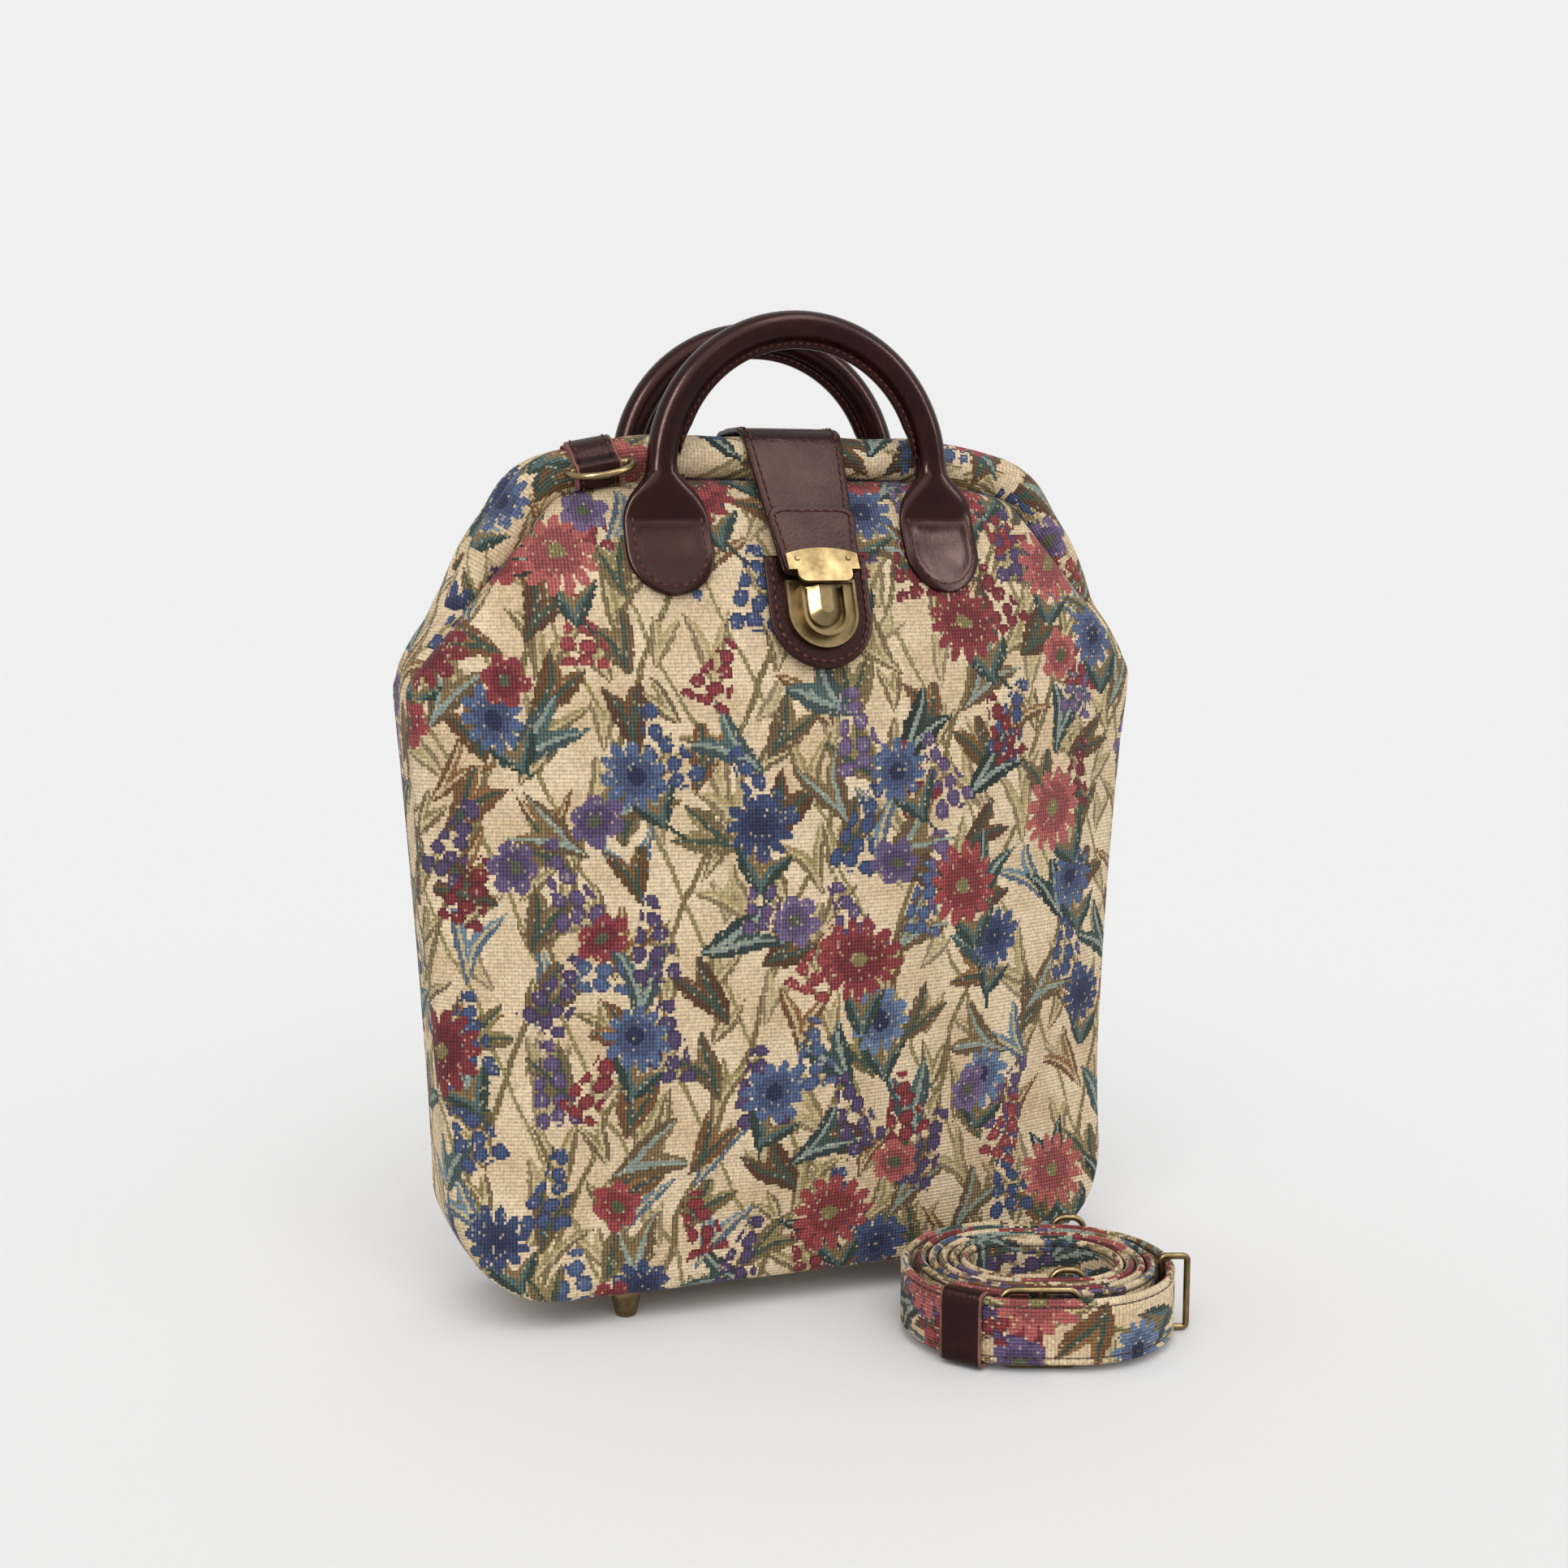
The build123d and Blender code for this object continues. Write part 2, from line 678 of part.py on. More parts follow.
# Slide buckle between the two outer turns on the near side
ring_rise = band_high / 2 + wire_clear + wire_r
buckle_v = -(coil_runs[-2] + coil_runs[-4]) / 2
buckle_spot = coil_plane.from_local_coords((buckle_u, buckle_v, 0))
buckle_plane = Plane(buckle_spot, x_dir=coil_plane.x_dir, z_dir=-coil_plane.y_dir)
with BuildPart() as slide_buckle:
    with BuildLine(buckle_plane) as buckle_line:
        FilletPolyline(
            (buckle_half, -ring_rise),
            (buckle_half, ring_rise),
            (-buckle_half, ring_rise),
            (-buckle_half, -ring_rise),
            radius=buckle_round,
            close=True,
        )
    with BuildSketch(Plane(buckle_line.wire() @ 0, z_dir=buckle_line.wire() % 0)):
        Circle(wire_r)
    sweep(path=buckle_line.wire())
    with BuildSketch(Plane(buckle_plane.from_local_coords((0, -ring_rise, 0)), z_dir=(0, 0, 1))):
        Circle(wire_r)
    extrude(amount=2 * ring_rise)

# Loop ring round the outer turn at the right end
right_r = (coil_runs[-3] + coil_runs[-2]) / 2
right_v = (coil_runs[-3] - coil_runs[-2]) / 2
loop_reach = band_thick / 2 + wire_clear + wire_r
loop_in_u = coil_straight + right_r - loop_reach
loop_out_u = coil_straight + right_r + loop_reach + loop_ring_out - wire_r
loop_spot = coil_plane.from_local_coords(((loop_in_u + loop_out_u) / 2, right_v, 0))
loop_ring_plane = Plane(loop_spot, x_dir=coil_plane.x_dir, z_dir=-coil_plane.y_dir)
loop_wide = (loop_out_u - loop_in_u) / 2


def wire_ring(plane, half_wide, half_high, corner):
    """Closed rounded wire ring in a plane."""
    with BuildPart() as ring:
        with BuildLine(plane) as line:
            FilletPolyline(
                (half_wide, -half_high),
                (half_wide, half_high),
                (-half_wide, half_high),
                (-half_wide, -half_high),
                radius=corner,
                close=True,
            )
        with BuildSketch(Plane(line.wire() @ 0, z_dir=line.wire() % 0)):
            Circle(wire_r)
        sweep(path=line.wire())
    return ring.part


with BuildPart() as loop_ring:
    add(wire_ring(loop_ring_plane, loop_wide, ring_rise, loop_ring_round))

# End rings, their bars in the folds at the two ends of the band
end_half = end_ring_long / 2
outer_u = coil_straight + wire_clear + wire_r + end_half
inner_u = coil_start_u + wire_clear + wire_r + end_half
outer_spot = coil_plane.from_local_coords((outer_u, coil_runs[-1], 0))
inner_spot = coil_plane.from_local_coords((inner_u, -coil_runs[0], 0))
with BuildPart() as outer_end_ring:
    add(
        wire_ring(
            Plane(outer_spot, x_dir=coil_plane.x_dir, z_dir=-coil_plane.y_dir),
            end_half,
            ring_rise,
            end_ring_round,
        )
    )

with BuildPart() as inner_end_ring:
    add(
        wire_ring(
            Plane(inner_spot, x_dir=coil_plane.x_dir, z_dir=-coil_plane.y_dir),
            end_half,
            ring_rise,
            end_ring_round,
        )
    )

pieces = {
    "front_panel": front_panel,
    "back_panel": back_panel,
    "gusset": gusset,
    "base_board": base_board,
    "feet": feet,
    "foot_nuts": foot_nuts,
    "hinge_rivets": hinge_rivets,
    "lock_patch": lock_patch,
    "lock_plate": lock_plate,
    "lock_thumb": lock_thumb,
    "front_frame_rod": front_frame_rod,
    "front_rim_sleeve": front_rim_sleeve,
    "front_handle": front_handle,
    "front_ring_loop": front_ring_loop,
    "front_d_ring": front_d_ring,
    "back_frame_rod": back_frame_rod,
    "back_rim_sleeve": back_rim_sleeve,
    "back_handle": back_handle,
    "back_ring_loop": back_ring_loop,
    "back_d_ring": back_d_ring,
    "closing_tab": closing_tab,
    "tab_overlay": tab_overlay,
    "tongue_plate": tongue_plate,
    "tongue_rivets": tongue_rivets,
    "strap_band": strap_band,
    "strap_keeper": strap_keeper,
    "slide_buckle": slide_buckle,
    "loop_ring": loop_ring,
    "outer_end_ring": outer_end_ring,
    "inner_end_ring": inner_end_ring,
}

os.makedirs("parts", exist_ok=True)
for name, piece in pieces.items():
    piece.part.label = name
    export_step(piece.part, f"parts/{name}.step")
    box = piece.part.bounding_box()
    print(name, len(piece.part.solids()), round(piece.part.volume), box.min, box.max)
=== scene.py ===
# %% [markdown]
# # A tapestry backpack with a frame mouth
# The solids of the bag come in as a fixed frame, with the front towards -Y and the floor at Z = 0.
# They already have the right sizes, so this lesson only dresses them: cloth, leather, thread and brass.
# Every piece is made in place, in metres, and many of them move with one of the frame's bodies.

# %% Load the frame
from functools import partial
from math import asin, atan2, cos, hypot, pi, radians, sin

import bmesh
import bpy
import numpy as np
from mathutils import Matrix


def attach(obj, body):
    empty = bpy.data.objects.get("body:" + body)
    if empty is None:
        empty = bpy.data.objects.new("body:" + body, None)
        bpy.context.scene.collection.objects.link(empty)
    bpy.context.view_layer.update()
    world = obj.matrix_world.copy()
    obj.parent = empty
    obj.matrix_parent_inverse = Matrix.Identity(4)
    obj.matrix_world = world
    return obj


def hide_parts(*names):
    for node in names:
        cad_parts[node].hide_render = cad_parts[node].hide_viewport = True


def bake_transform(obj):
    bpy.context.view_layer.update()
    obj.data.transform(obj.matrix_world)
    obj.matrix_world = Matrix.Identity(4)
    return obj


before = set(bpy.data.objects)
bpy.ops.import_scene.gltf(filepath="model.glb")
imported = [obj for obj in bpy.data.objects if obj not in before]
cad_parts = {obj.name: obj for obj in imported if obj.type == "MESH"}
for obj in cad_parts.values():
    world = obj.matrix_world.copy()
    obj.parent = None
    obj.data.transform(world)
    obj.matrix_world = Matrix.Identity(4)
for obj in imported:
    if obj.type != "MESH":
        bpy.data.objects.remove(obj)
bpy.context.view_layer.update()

MM = 0.001

# %% [markdown]
# The bag was seen from its front left, a little above the rim.
# A 47 mm lens on a 36 mm frame has the same field of view, so the camera is set from that angle.
# A studio could be lit with lamps alone. Here the floor and the world are the same pale grey, and a wide, soft
# sun with an even sky lights both, because that leaves only a faint shadow and no line at the horizon.
# Two tall, narrow lamps beside the camera and a square one above give leather and brass something bright
# to reflect. They are kept out of matt surfaces, so that the floor stays even.


# %% Camera, floor and light
def hex_rgb(code):
    """An sRGB hex colour as linear RGBA."""
    parts = [int(code[i : i + 2], 16) / 255 for i in (1, 3, 5)]
    return [c / 12.92 if c <= 0.04045 else ((c + 0.055) / 1.055) ** 2.4 for c in parts] + [1.0]


def plug(node, *inputs, **named):
    """Fills a node's sockets: inputs in order, or by number as a dict; named by name, with _ for a space.
    A node, or a node with an output's name or number, is linked in. A name of no socket is a property."""
    numbered = inputs[0] if inputs and isinstance(inputs[0], dict) else dict(enumerate(inputs))
    for key, value in {**named, **numbered}.items():
        socket = key if isinstance(key, int) else key.replace("_", " ")
        if isinstance(value, bpy.types.Node):
            value = (value, 0)
        if isinstance(value, tuple) and isinstance(value[0], bpy.types.Node):
            node.id_data.links.new(value[0].outputs[value[1]], node.inputs[socket])
        elif isinstance(socket, int) or socket in node.inputs:
            node.inputs[socket].default_value = value
        else:
            setattr(node, key, value)


def wire(tree, kind, *inputs, **named):
    """Adds one node. kind is its type, a shader node unless it says Node, with an operation after a space."""
    kind, *operation = kind.split()
    made = tree.nodes.new(kind if "Node" in kind else "ShaderNode" + kind)
    if operation:
        made.operation = operation[0]
    plug(made, *inputs, **named)
    return made


scene = bpy.context.scene
scene.view_settings.view_transform = "Standard"


def stand(name, data):
    """A new object in the scene."""
    made = bpy.data.objects.new(name, data)
    scene.collection.objects.link(made)
    return made


def material(name):
    """A new material; gives it, a way to add its nodes, and its surface node."""
    made = bpy.data.materials.new(name)
    made.use_nodes = True
    return made, partial(wire, made.node_tree), made.node_tree.nodes["Principled BSDF"]


lens = bpy.data.cameras.new("Camera")
lens.sensor_width = 36.0
lens.lens = 46.87
lens.clip_end = 60
camera = stand("Camera", lens)
camera.location = (-0.3314, -0.9189, 0.3626)
camera.rotation_euler = (radians(83.04), 0, radians(-20.02))
scene.camera = camera

PALE, PAPER, SKY_LIGHT, SUN_LIGHT = "#F0F0F0", "#F3F3F3", 0.68, 1.2
world = bpy.data.worlds.new("Studio")
scene.world = world
world.use_nodes = True
world.node_tree.nodes.clear()
add = partial(wire, world.node_tree)
ray = add("LightPath")
seen = add("Math MAXIMUM", (ray, "Is Camera Ray"), (ray, "Is Transmission Ray"))
seen = add("Math MAXIMUM", seen, (ray, "Is Glossy Ray"))
soft = add("Background", Color=(1, 1, 1, 1), Strength=SKY_LIGHT)
shown = add("Background", Color=hex_rgb(PALE), Strength=1.0)
add("OutputWorld", add("MixShader", seen, soft, shown))

sun = bpy.data.lights.new("Sun", "SUN")
sun.energy = SUN_LIGHT
sun.angle = radians(50)
stand("Sun", sun).rotation_euler = (radians(38), radians(-14), 0)
for name, place, aim, size, power in (
    ("Strip left", (-1.0, -0.75, 0.95), (60, 0, -53), (0.16, 0.9), 23.0),
    ("Strip right", (1.05, -0.75, 0.95), (60, 0, 54), (0.16, 0.9), 9.0),
    ("Top box", (0.38, -0.52, 1.5), (25, 0, 36), (0.6, 0.6), 7.0),
):
    box = bpy.data.lights.new(name, "AREA")
    box.shape = "RECTANGLE"
    box.size, box.size_y = size
    box.energy = power
    box_lamp = stand(name, box)
    box_lamp.location = place
    box_lamp.rotation_euler = [radians(turn) for turn in aim]
    box_lamp.visible_diffuse = False

FAR = 30
floor_mesh = bpy.data.meshes.new("Floor")
floor_mesh.from_pydata([(-FAR, -FAR, 0), (FAR, -FAR, 0), (FAR, FAR, 0), (-FAR, FAR, 0)], [], [(0, 1, 2, 3)])
floor = stand("Floor", floor_mesh)
# matt and even, so that only a soft shadow shows under the bag
paper, add, surface = material("Pale studio paper")
plug(surface, Base_Color=hex_rgb(PAPER), Roughness=1.0, Specular_IOR_Level=0.0)
floor_mesh.materials.append(paper)
print("camera at", [round(x, 3) for x in camera.location], "lens", round(lens.lens, 2))

# %% [markdown]
# The cloth is a jacquard tapestry: coloured weft floats over a beige ground, and the drawing steps from
# thread to thread. It could be painted as a picture. Node groups draw it here, so it stays sharp at any
# distance and runs on over every piece of cloth without a repeat that shows.
# The first group scatters a motif: it cuts the cloth into a half-drop lattice of cells and gives
# each cell its own small shift, turn and chance. Units are metres on the cloth's own UV map.


# %% Motif lattice
def group(name, inputs, outputs, kind="ShaderNodeTree"):
    """An empty node group with named sockets; gives its tree, a way to add its nodes, its input and its output."""
    tree = bpy.data.node_groups.new(name, kind)
    for way, sockets in (("INPUT", inputs), ("OUTPUT", outputs)):
        for socket, value in sockets.items():
            tree.interface.new_socket(socket, in_out=way, socket_type="NodeSocket" + value)
    return tree, partial(wire, tree), wire(tree, "NodeGroupInput"), wire(tree, "NodeGroupOutput")


lattice, add, g, end = group(
    "Half-drop lattice",
    {"Cloth": "Vector", "Cell": "Vector", "Start": "Vector", "Jitter": "Float", "Swing": "Float"},
    {"Place": "Vector", "Tint": "Float", "Chance": "Float"},
)
spot = add("VectorMath ADD", add("VectorMath DIVIDE", (g, "Cloth"), (g, "Cell")), (g, "Start"))
xy = add("SeparateXYZ", spot)
odd = add("Math FLOORED_MODULO", add("Math FLOOR", (xy, "X")), 2.0)
drop = add("Math MULTIPLY_ADD", odd, 0.5, (xy, "Y"))
dropped = add("CombineXYZ", (xy, "X"), drop, (xy, "Z"))
corner = add("VectorMath FLOOR", dropped)
dice = add("TexWhiteNoise", noise_dimensions="3D", Vector=corner)
inside = add("VectorMath SUBTRACT", add("VectorMath SUBTRACT", dropped, corner), (0.5, 0.5, 0.0))
throw = add("VectorMath SUBTRACT", (dice, "Color"), (0.5, 0.5, 0.5))
inside = add("VectorMath SUBTRACT", inside, add("VectorMath SCALE", throw, Scale=(g, "Jitter")))
parts = add("SeparateXYZ", throw)
turn = add("Math MULTIPLY", (parts, "Z"), (g, "Swing"))
turned = add("VectorRotate", rotation_type="Z_AXIS", Vector=inside, Angle=turn)
place = add("VectorMath MULTIPLY", add("VectorMath MULTIPLY", turned, (g, "Cell")), (1.0, 1.0, 0.0))
# the same throw, spread wide and cut to 0..1, serves again for chance and tint
chance = add("Math FRACT", add("Math MULTIPLY", (parts, "Y"), 17.0))
tint = add("Math FRACT", add("Math MULTIPLY", (parts, "X"), 23.0))
plug(end, Place=place, Tint=tint, Chance=chance)
print("lattice group:", len(lattice.nodes), "nodes")

# %% [markdown]
# Four motif groups draw on a cell: a flower with petals and a heart, a pair of leaves that opens like
# a V, a tapering spike of round berries, and the bowed stalk with two leaves that a flower stands on.
# Each answers with a mask of 0 or 1, and further masks for its darker half and, but for the spike, its heart or rib.
# They are plain garden shapes, worked out from a radius, a length and a count, because a formula can be
# scaled and recoloured for many flowers where a drawn outline gives only one.


# %% Flower, leaf and spike motifs
MASKS = {"Mask": "Float", "Inner": "Float", "Shade": "Float"}
flower, add, g, end = group(
    "Petal flower",
    {"Place": "Vector", "Radius": "Float", "Petals": "Float", "Notch": "Float", "Heart": "Float"},
    MASKS,
)
xy = add("SeparateXYZ", (g, "Place"))
far = add("Math DIVIDE", (add("VectorMath LENGTH", (g, "Place")), "Value"), (g, "Radius"))
angle = add("Math MULTIPLY", add("Math ARCTAN2", (xy, "Y"), (xy, "X")), (g, "Petals"))
wave = add("Math ABSOLUTE", add("Math COSINE", add("Math MULTIPLY", angle, 0.5)))
cut = add("Math SUBTRACT", add("Math POWER", wave, 0.55), 1.0)
edge = add("Math MULTIPLY_ADD", cut, (g, "Notch"), 1.0)
mask = add("Math LESS_THAN", far, edge)
heart = add("Math LESS_THAN", far, (g, "Heart"))
reach = add("Math MULTIPLY_ADD", wave, -0.75, 1.25)
shade = add("Math MULTIPLY", add("Math LESS_THAN", far, reach), add("Math LESS_THAN", far, 0.6))
plug(end, Mask=mask, Inner=heart, Shade=shade)

leaf, add, g, end = group(
    "Leaf pair",
    {"Place": "Vector", "Length": "Float", "Width": "Float", "Open": "Float"},
    MASKS,
)
xy = add("SeparateXYZ", (g, "Place"))
along = add("Math ADD", add("Math DIVIDE", (xy, "Y"), (g, "Length")), 0.5)
bow = add("Math MULTIPLY", add("Math MULTIPLY", along, along), (g, "Open"))
side = add("Math SUBTRACT", add("Math ABSOLUTE", (xy, "X")), bow)
shade = add("Math GREATER_THAN", side, 0.0)
side = add("Math ABSOLUTE", side)
belly = add("Math MULTIPLY", along, add("Math SUBTRACT", 1.0, along))
teeth = add("Math MULTIPLY_ADD", add("Math PINGPONG", along, 0.09), 2.4, 0.88)
belly = add("Math MULTIPLY", add("Math MULTIPLY", belly, teeth), (g, "Width"))
mask = add("Math LESS_THAN", side, belly)
rib = add("Math LESS_THAN", side, add("Math MULTIPLY", belly, 0.24))
plug(end, Mask=mask, Inner=rib, Shade=shade)

spike, add, g, end = group(
    "Floret spike",
    {"Place": "Vector", "Length": "Float", "Width": "Float", "Floret": "Float"},
    {"Mask": "Float", "Shade": "Float"},
)
xy = add("SeparateXYZ", (g, "Place"))
along = add("Math ADD", add("Math DIVIDE", (xy, "Y"), (g, "Length")), 0.5)
taper = add("Math MULTIPLY", add("Math MULTIPLY_ADD", along, -0.75, 1.0), (g, "Width"))
body = add("Math LESS_THAN", add("Math ABSOLUTE", (xy, "X")), taper)
length = add("Math COMPARE", along, 0.5, 0.5)
pitch = add("Math DIVIDE", 1.0, (g, "Floret"))
dots = add("TexVoronoi", voronoi_dimensions="2D", Randomness=0.35, Vector=(g, "Place"), Scale=pitch)
bead = add("Math LESS_THAN", (dots, "Distance"), 0.45)
shade = add("Math GREATER_THAN", (dots, "Distance"), 0.32)
plug(end, Mask=add("Math MULTIPLY", add("Math MULTIPLY", body, length), bead), Shade=shade)

stalk, add, g, end = group("Stalk", {"Place": "Vector", "Down": "Float"}, MASKS)
xy = add("SeparateXYZ", (g, "Place"))
bow = add("Math MULTIPLY_ADD", add("Math MULTIPLY", (xy, "Y"), (xy, "Y")), -7.0, (xy, "X"))
thin = add("Math LESS_THAN", add("Math ABSOLUTE", bow), 0.9 * MM)
thin = add("Math MULTIPLY", thin, add("Math LESS_THAN", (xy, "Y"), 0.0))
low = add("VectorMath ADD", (g, "Place"), add("CombineXYZ", X=-4 * MM, Y=(g, "Down")))
pair = add("Group", node_tree=leaf, Length=20 * MM, Width=22 * MM, Open=12 * MM, Place=low)
plug(end, Mask=add("Math MAXIMUM", thin, (pair, "Mask")), Inner=(pair, "Inner"), Shade=(pair, "Shade"))
print("motif groups:", [t.name for t in (flower, leaf, spike, stalk)])

# %% [markdown]
# The tapestry itself snaps the cloth's coordinates to the thread grid, about 1 mm by 1.3 mm, so every
# motif edge turns into little steps, then lays the motifs over each other from pale grass to red flowers.
# Single threads differ in tone, weft ribs at a 1.75 mm pitch lift the surface, and painted shade darkens the hollows
# between them.
# Ribs could be modelled, but there are hundreds on every piece, so a bump is enough for them.
# Real threads and ribs are finer; they are drawn as coarse as they need to be to show.

# %% Jacquard tapestry
THREAD_U, THREAD_V, RIB = 1.05 * MM, 1.3 * MM, 1.75 * MM
OLIVE = ("#B9A474", "#A89464", "#C2AE82", "#9C8A5C")
BROWN = ("#86623A", "#9A7046", "#765438", "#8E7650")
TEAL = ("#5A706C", "#465A54", "#7890A0", "#5C6C76")
FOREST = ("#38463E", "#484F42", "#585640", "#303E3A")
RED = ("#963F43", "#AA4C4C", "#C06862", "#88363B")
BLUE = ("#4D5C82", "#5E6F92", "#434F72", "#7387A6")
MAUVE = ("#705D82", "#806C90", "#604F72", "#8D7C9A")
MOTIFS = [
    # kind, cell mm, seed, jitter, swing, share of cells, sizes, tones, inner colour
    (leaf, 27, 1, 0.25, 1.6, 0.82, (25, 13, 6), OLIVE, "#D0BC90"),
    (leaf, 39, 2, 0.25, 1.8, 0.86, (38, 15, 13), OLIVE[:2] + BROWN[1:2] + TEAL[2:3], "#CAB68A"),
    (leaf, 35, 3, 0.20, 2.4, 0.56, (33, 22, 9), BROWN + OLIVE[3:], "#4C5848"),
    (leaf, 43, 4, 0.20, 2.4, 0.50, (39, 22, 12), TEAL[:2] + FOREST[:1] + BROWN[3:], "#94A094"),
    (spike, 45, 6, 0.20, 1.0, 0.50, (40, 13, 8.2), MAUVE[:3] + BLUE[:1], None),
    (spike, 51, 7, 0.25, 1.2, 0.42, (34, 12, 8.0), RED[:2] + BLUE[1:2] + RED[3:], None),
    (flower, 60, 8, 0.24, 1.0, 0.30, (15, 11, 0.52, 0.28), BLUE, "#2C3450"),
    (flower, 62, 9, 0.22, 1.0, 0.38, (20, 13, 0.50, 0.20), RED, "#8E8252"),
    (flower, 46, 10, 0.28, 1.0, 0.30, (12, 6, 0.40, 0.24), RED[:3] + MAUVE[:2], "#5C6248"),
]
STALKED = (8, 9)  # seeds of the flowers that stand on a stalk
SIZES = {
    "Petal flower": ("Radius", "Petals", "Notch", "Heart"),
    "Leaf pair": ("Length", "Width", "Open"),
    "Floret spike": ("Length", "Width", "Floret"),
}
UNITLESS = ("Petals", "Notch", "Heart")
GROUND = ((0.35, "#DCC19A"), (0.62, "#EED6B2"))
STEMS = ((0.45, 39, "#9C8E5E"), (-0.35, 53, "#8A7A50"))  # lean, spacing mm, colour
FLECK, SHADED = "#D9C7A2", (0.66, 0.62, 0.66, 1)


def set_stops(node, stops):
    """Gives a colour ramp its stops, each a position and a hex colour."""
    elements = node.color_ramp.elements
    while len(elements) < len(stops):
        elements.new(0.5)
    for i, (at, code) in enumerate(stops):
        elements[i].position = at
        elements[i].color = hex_rgb(code)


def tapestry(name):
    """Woven flower cloth on the UV map named cloth, which is in metres."""
    made, add, surface = material(name)
    cloth = add("UVMap", uv_map="cloth")
    step = add("VectorMath SNAP", cloth, (THREAD_U, THREAD_V, 1.0))
    wander = add("TexNoise", Scale=1 / (26 * MM), Detail=0.0, Vector=step)
    wander = add("VectorMath SUBTRACT", (wander, "Color"), (0.5, 0.5, 0.5))
    # the drawing wanders by some millimetres, so that no two motifs are quite alike
    drawn = add("VectorMath ADD", step, add("VectorMath SCALE", wander, Scale=8 * MM))
    ground = add("ValToRGB", add("TexNoise", Scale=1 / (30 * MM), Detail=1.0, Vector=step))
    set_stops(ground, GROUND)
    colour = (ground, "Color")
    for lean, spacing, code in STEMS:
        xy = add("SeparateXYZ", drawn)
        sway = add("Math DIVIDE", add("Math MULTIPLY_ADD", (xy, "Y"), lean, (xy, "X")), spacing * MM)
        stem = add("Math COMPARE", add("Math FRACT", sway), 0.5, 0.028)
        colour = (add("Mix", {0: stem, 6: colour, 7: hex_rgb(code)}, data_type="RGBA"), 2)
    for kind, cell, seed, jitter, swing, share, sizes, tones, inner in MOTIFS:
        start, cell = (0.37 * seed, 0.61 * seed, seed + 0.5), (cell * MM, cell * MM, 1.0)
        spot = add("Group", node_tree=lattice, Cell=cell, Start=start, Jitter=jitter, Swing=swing, Cloth=drawn)
        shape = {key: n if key in UNITLESS else n * MM for key, n in zip(SIZES[kind.name], sizes)}
        motif = add("Group", node_tree=kind, **shape, Place=(spot, "Place"))
        present = add("Math LESS_THAN", (spot, "Chance"), share)
        if seed in STALKED:
            stem = add("Group", node_tree=stalk, Down=(4 + sizes[0]) * MM, Place=(spot, "Place"))
            greens = {0: (stem, "Shade"), 6: hex_rgb(BROWN[3]), 7: hex_rgb(FOREST[0])}
            green = add("Mix", greens, data_type="RGBA")
            green = add("Mix", {0: (stem, "Inner"), 6: (green, 2), 7: hex_rgb(TEAL[0])}, data_type="RGBA")
            stem = add("Math MULTIPLY", present, (stem, "Mask"))
            colour = (add("Mix", {0: stem, 6: colour, 7: (green, 2)}, data_type="RGBA"), 2)
        mask = add("Math MULTIPLY", present, (motif, "Mask"))
        tone = add("ValToRGB", (spot, "Tint"))
        tone.color_ramp.interpolation = "CONSTANT"
        set_stops(tone, [(i / len(tones), code) for i, code in enumerate(tones)])
        halves = {0: (motif, "Shade"), 6: (tone, "Color"), 7: SHADED}
        paint = add("Mix", halves, data_type="RGBA", blend_type="MULTIPLY")
        if inner:
            paint = add("Mix", {0: (motif, "Inner"), 6: (paint, 2), 7: hex_rgb(inner)}, data_type="RGBA")
        colour = (add("Mix", {0: mask, 6: colour, 7: (paint, 2)}, data_type="RGBA"), 2)
    # pale flecks, then tone from thread to thread, painted shade in the hollows between ribs, and a grid where the
    # cloth is darkly worked
    light = add("RGBToBW", colour)
    thread = add("VectorMath DIVIDE", step, (THREAD_U, THREAD_V, 1.0))
    thread = add("VectorMath ADD", thread, (0.5, 0.5, 0.5))
    fleck = add("TexWhiteNoise", noise_dimensions="2D", Vector=thread)
    pale = add("Math MULTIPLY", add("Math GREATER_THAN", (fleck, "Value"), 0.96), 0.5)
    colour = add("Mix", {0: pale, 6: colour, 7: hex_rgb(FLECK)}, data_type="RGBA")
    shift = add("MapRange", To_Min=0.76, To_Max=1.14, Value=(fleck, "Value"))
    rib = add("SeparateXYZ", add("VectorMath SCALE", cloth, Scale=2 * pi / RIB))
    weft = add("Math SINE", (rib, "Y"))
    ends = add("Math SINE", add("Math MULTIPLY", (rib, "X"), 1.1))
    weave = add("Math MULTIPLY_ADD", ends, 0.4, weft)
    # painted shade: the colour darkens where the weave is low, between the ribs
    furrow_shade = add("MapRange", From_Min=-1.3, From_Max=0.2, To_Min=0.68, To_Max=1.0, Value=weave)
    grid = add("MapRange", From_Min=-1.0, From_Max=-0.2, To_Min=0.55, To_Max=0.0, Value=ends)
    worked = add("MapRange", From_Min=0.2, From_Max=0.36, To_Min=1.0, To_Max=0.0, Value=light)
    grid = add("Math SUBTRACT", 1.0, add("Math MULTIPLY", grid, worked))
    grid = add("Math MULTIPLY", add("Math MULTIPLY", grid, furrow_shade), shift)
    grid = add("CombineColor", grid, grid, grid)
    colour = add("Mix", {0: 1.0, 6: (colour, 2), 7: grid}, data_type="RGBA", blend_type="MULTIPLY")
    bump = add("Bump", Strength=0.55, Distance=0.22 * MM, Height=weave)
    plug(surface, Roughness=0.86, Specular_IOR_Level=0.2, Sheen_Weight=0.08, Sheen_Roughness=0.5)
    plug(surface, Base_Color=(colour, 2), Normal=bump)
    return made


# matt, ribbed wool and cotton: many small colours on warm beige
TAPESTRY = tapestry("Jacquard tapestry cloth")
print("tapestry:", len(TAPESTRY.node_tree.nodes), "nodes on top of the groups")

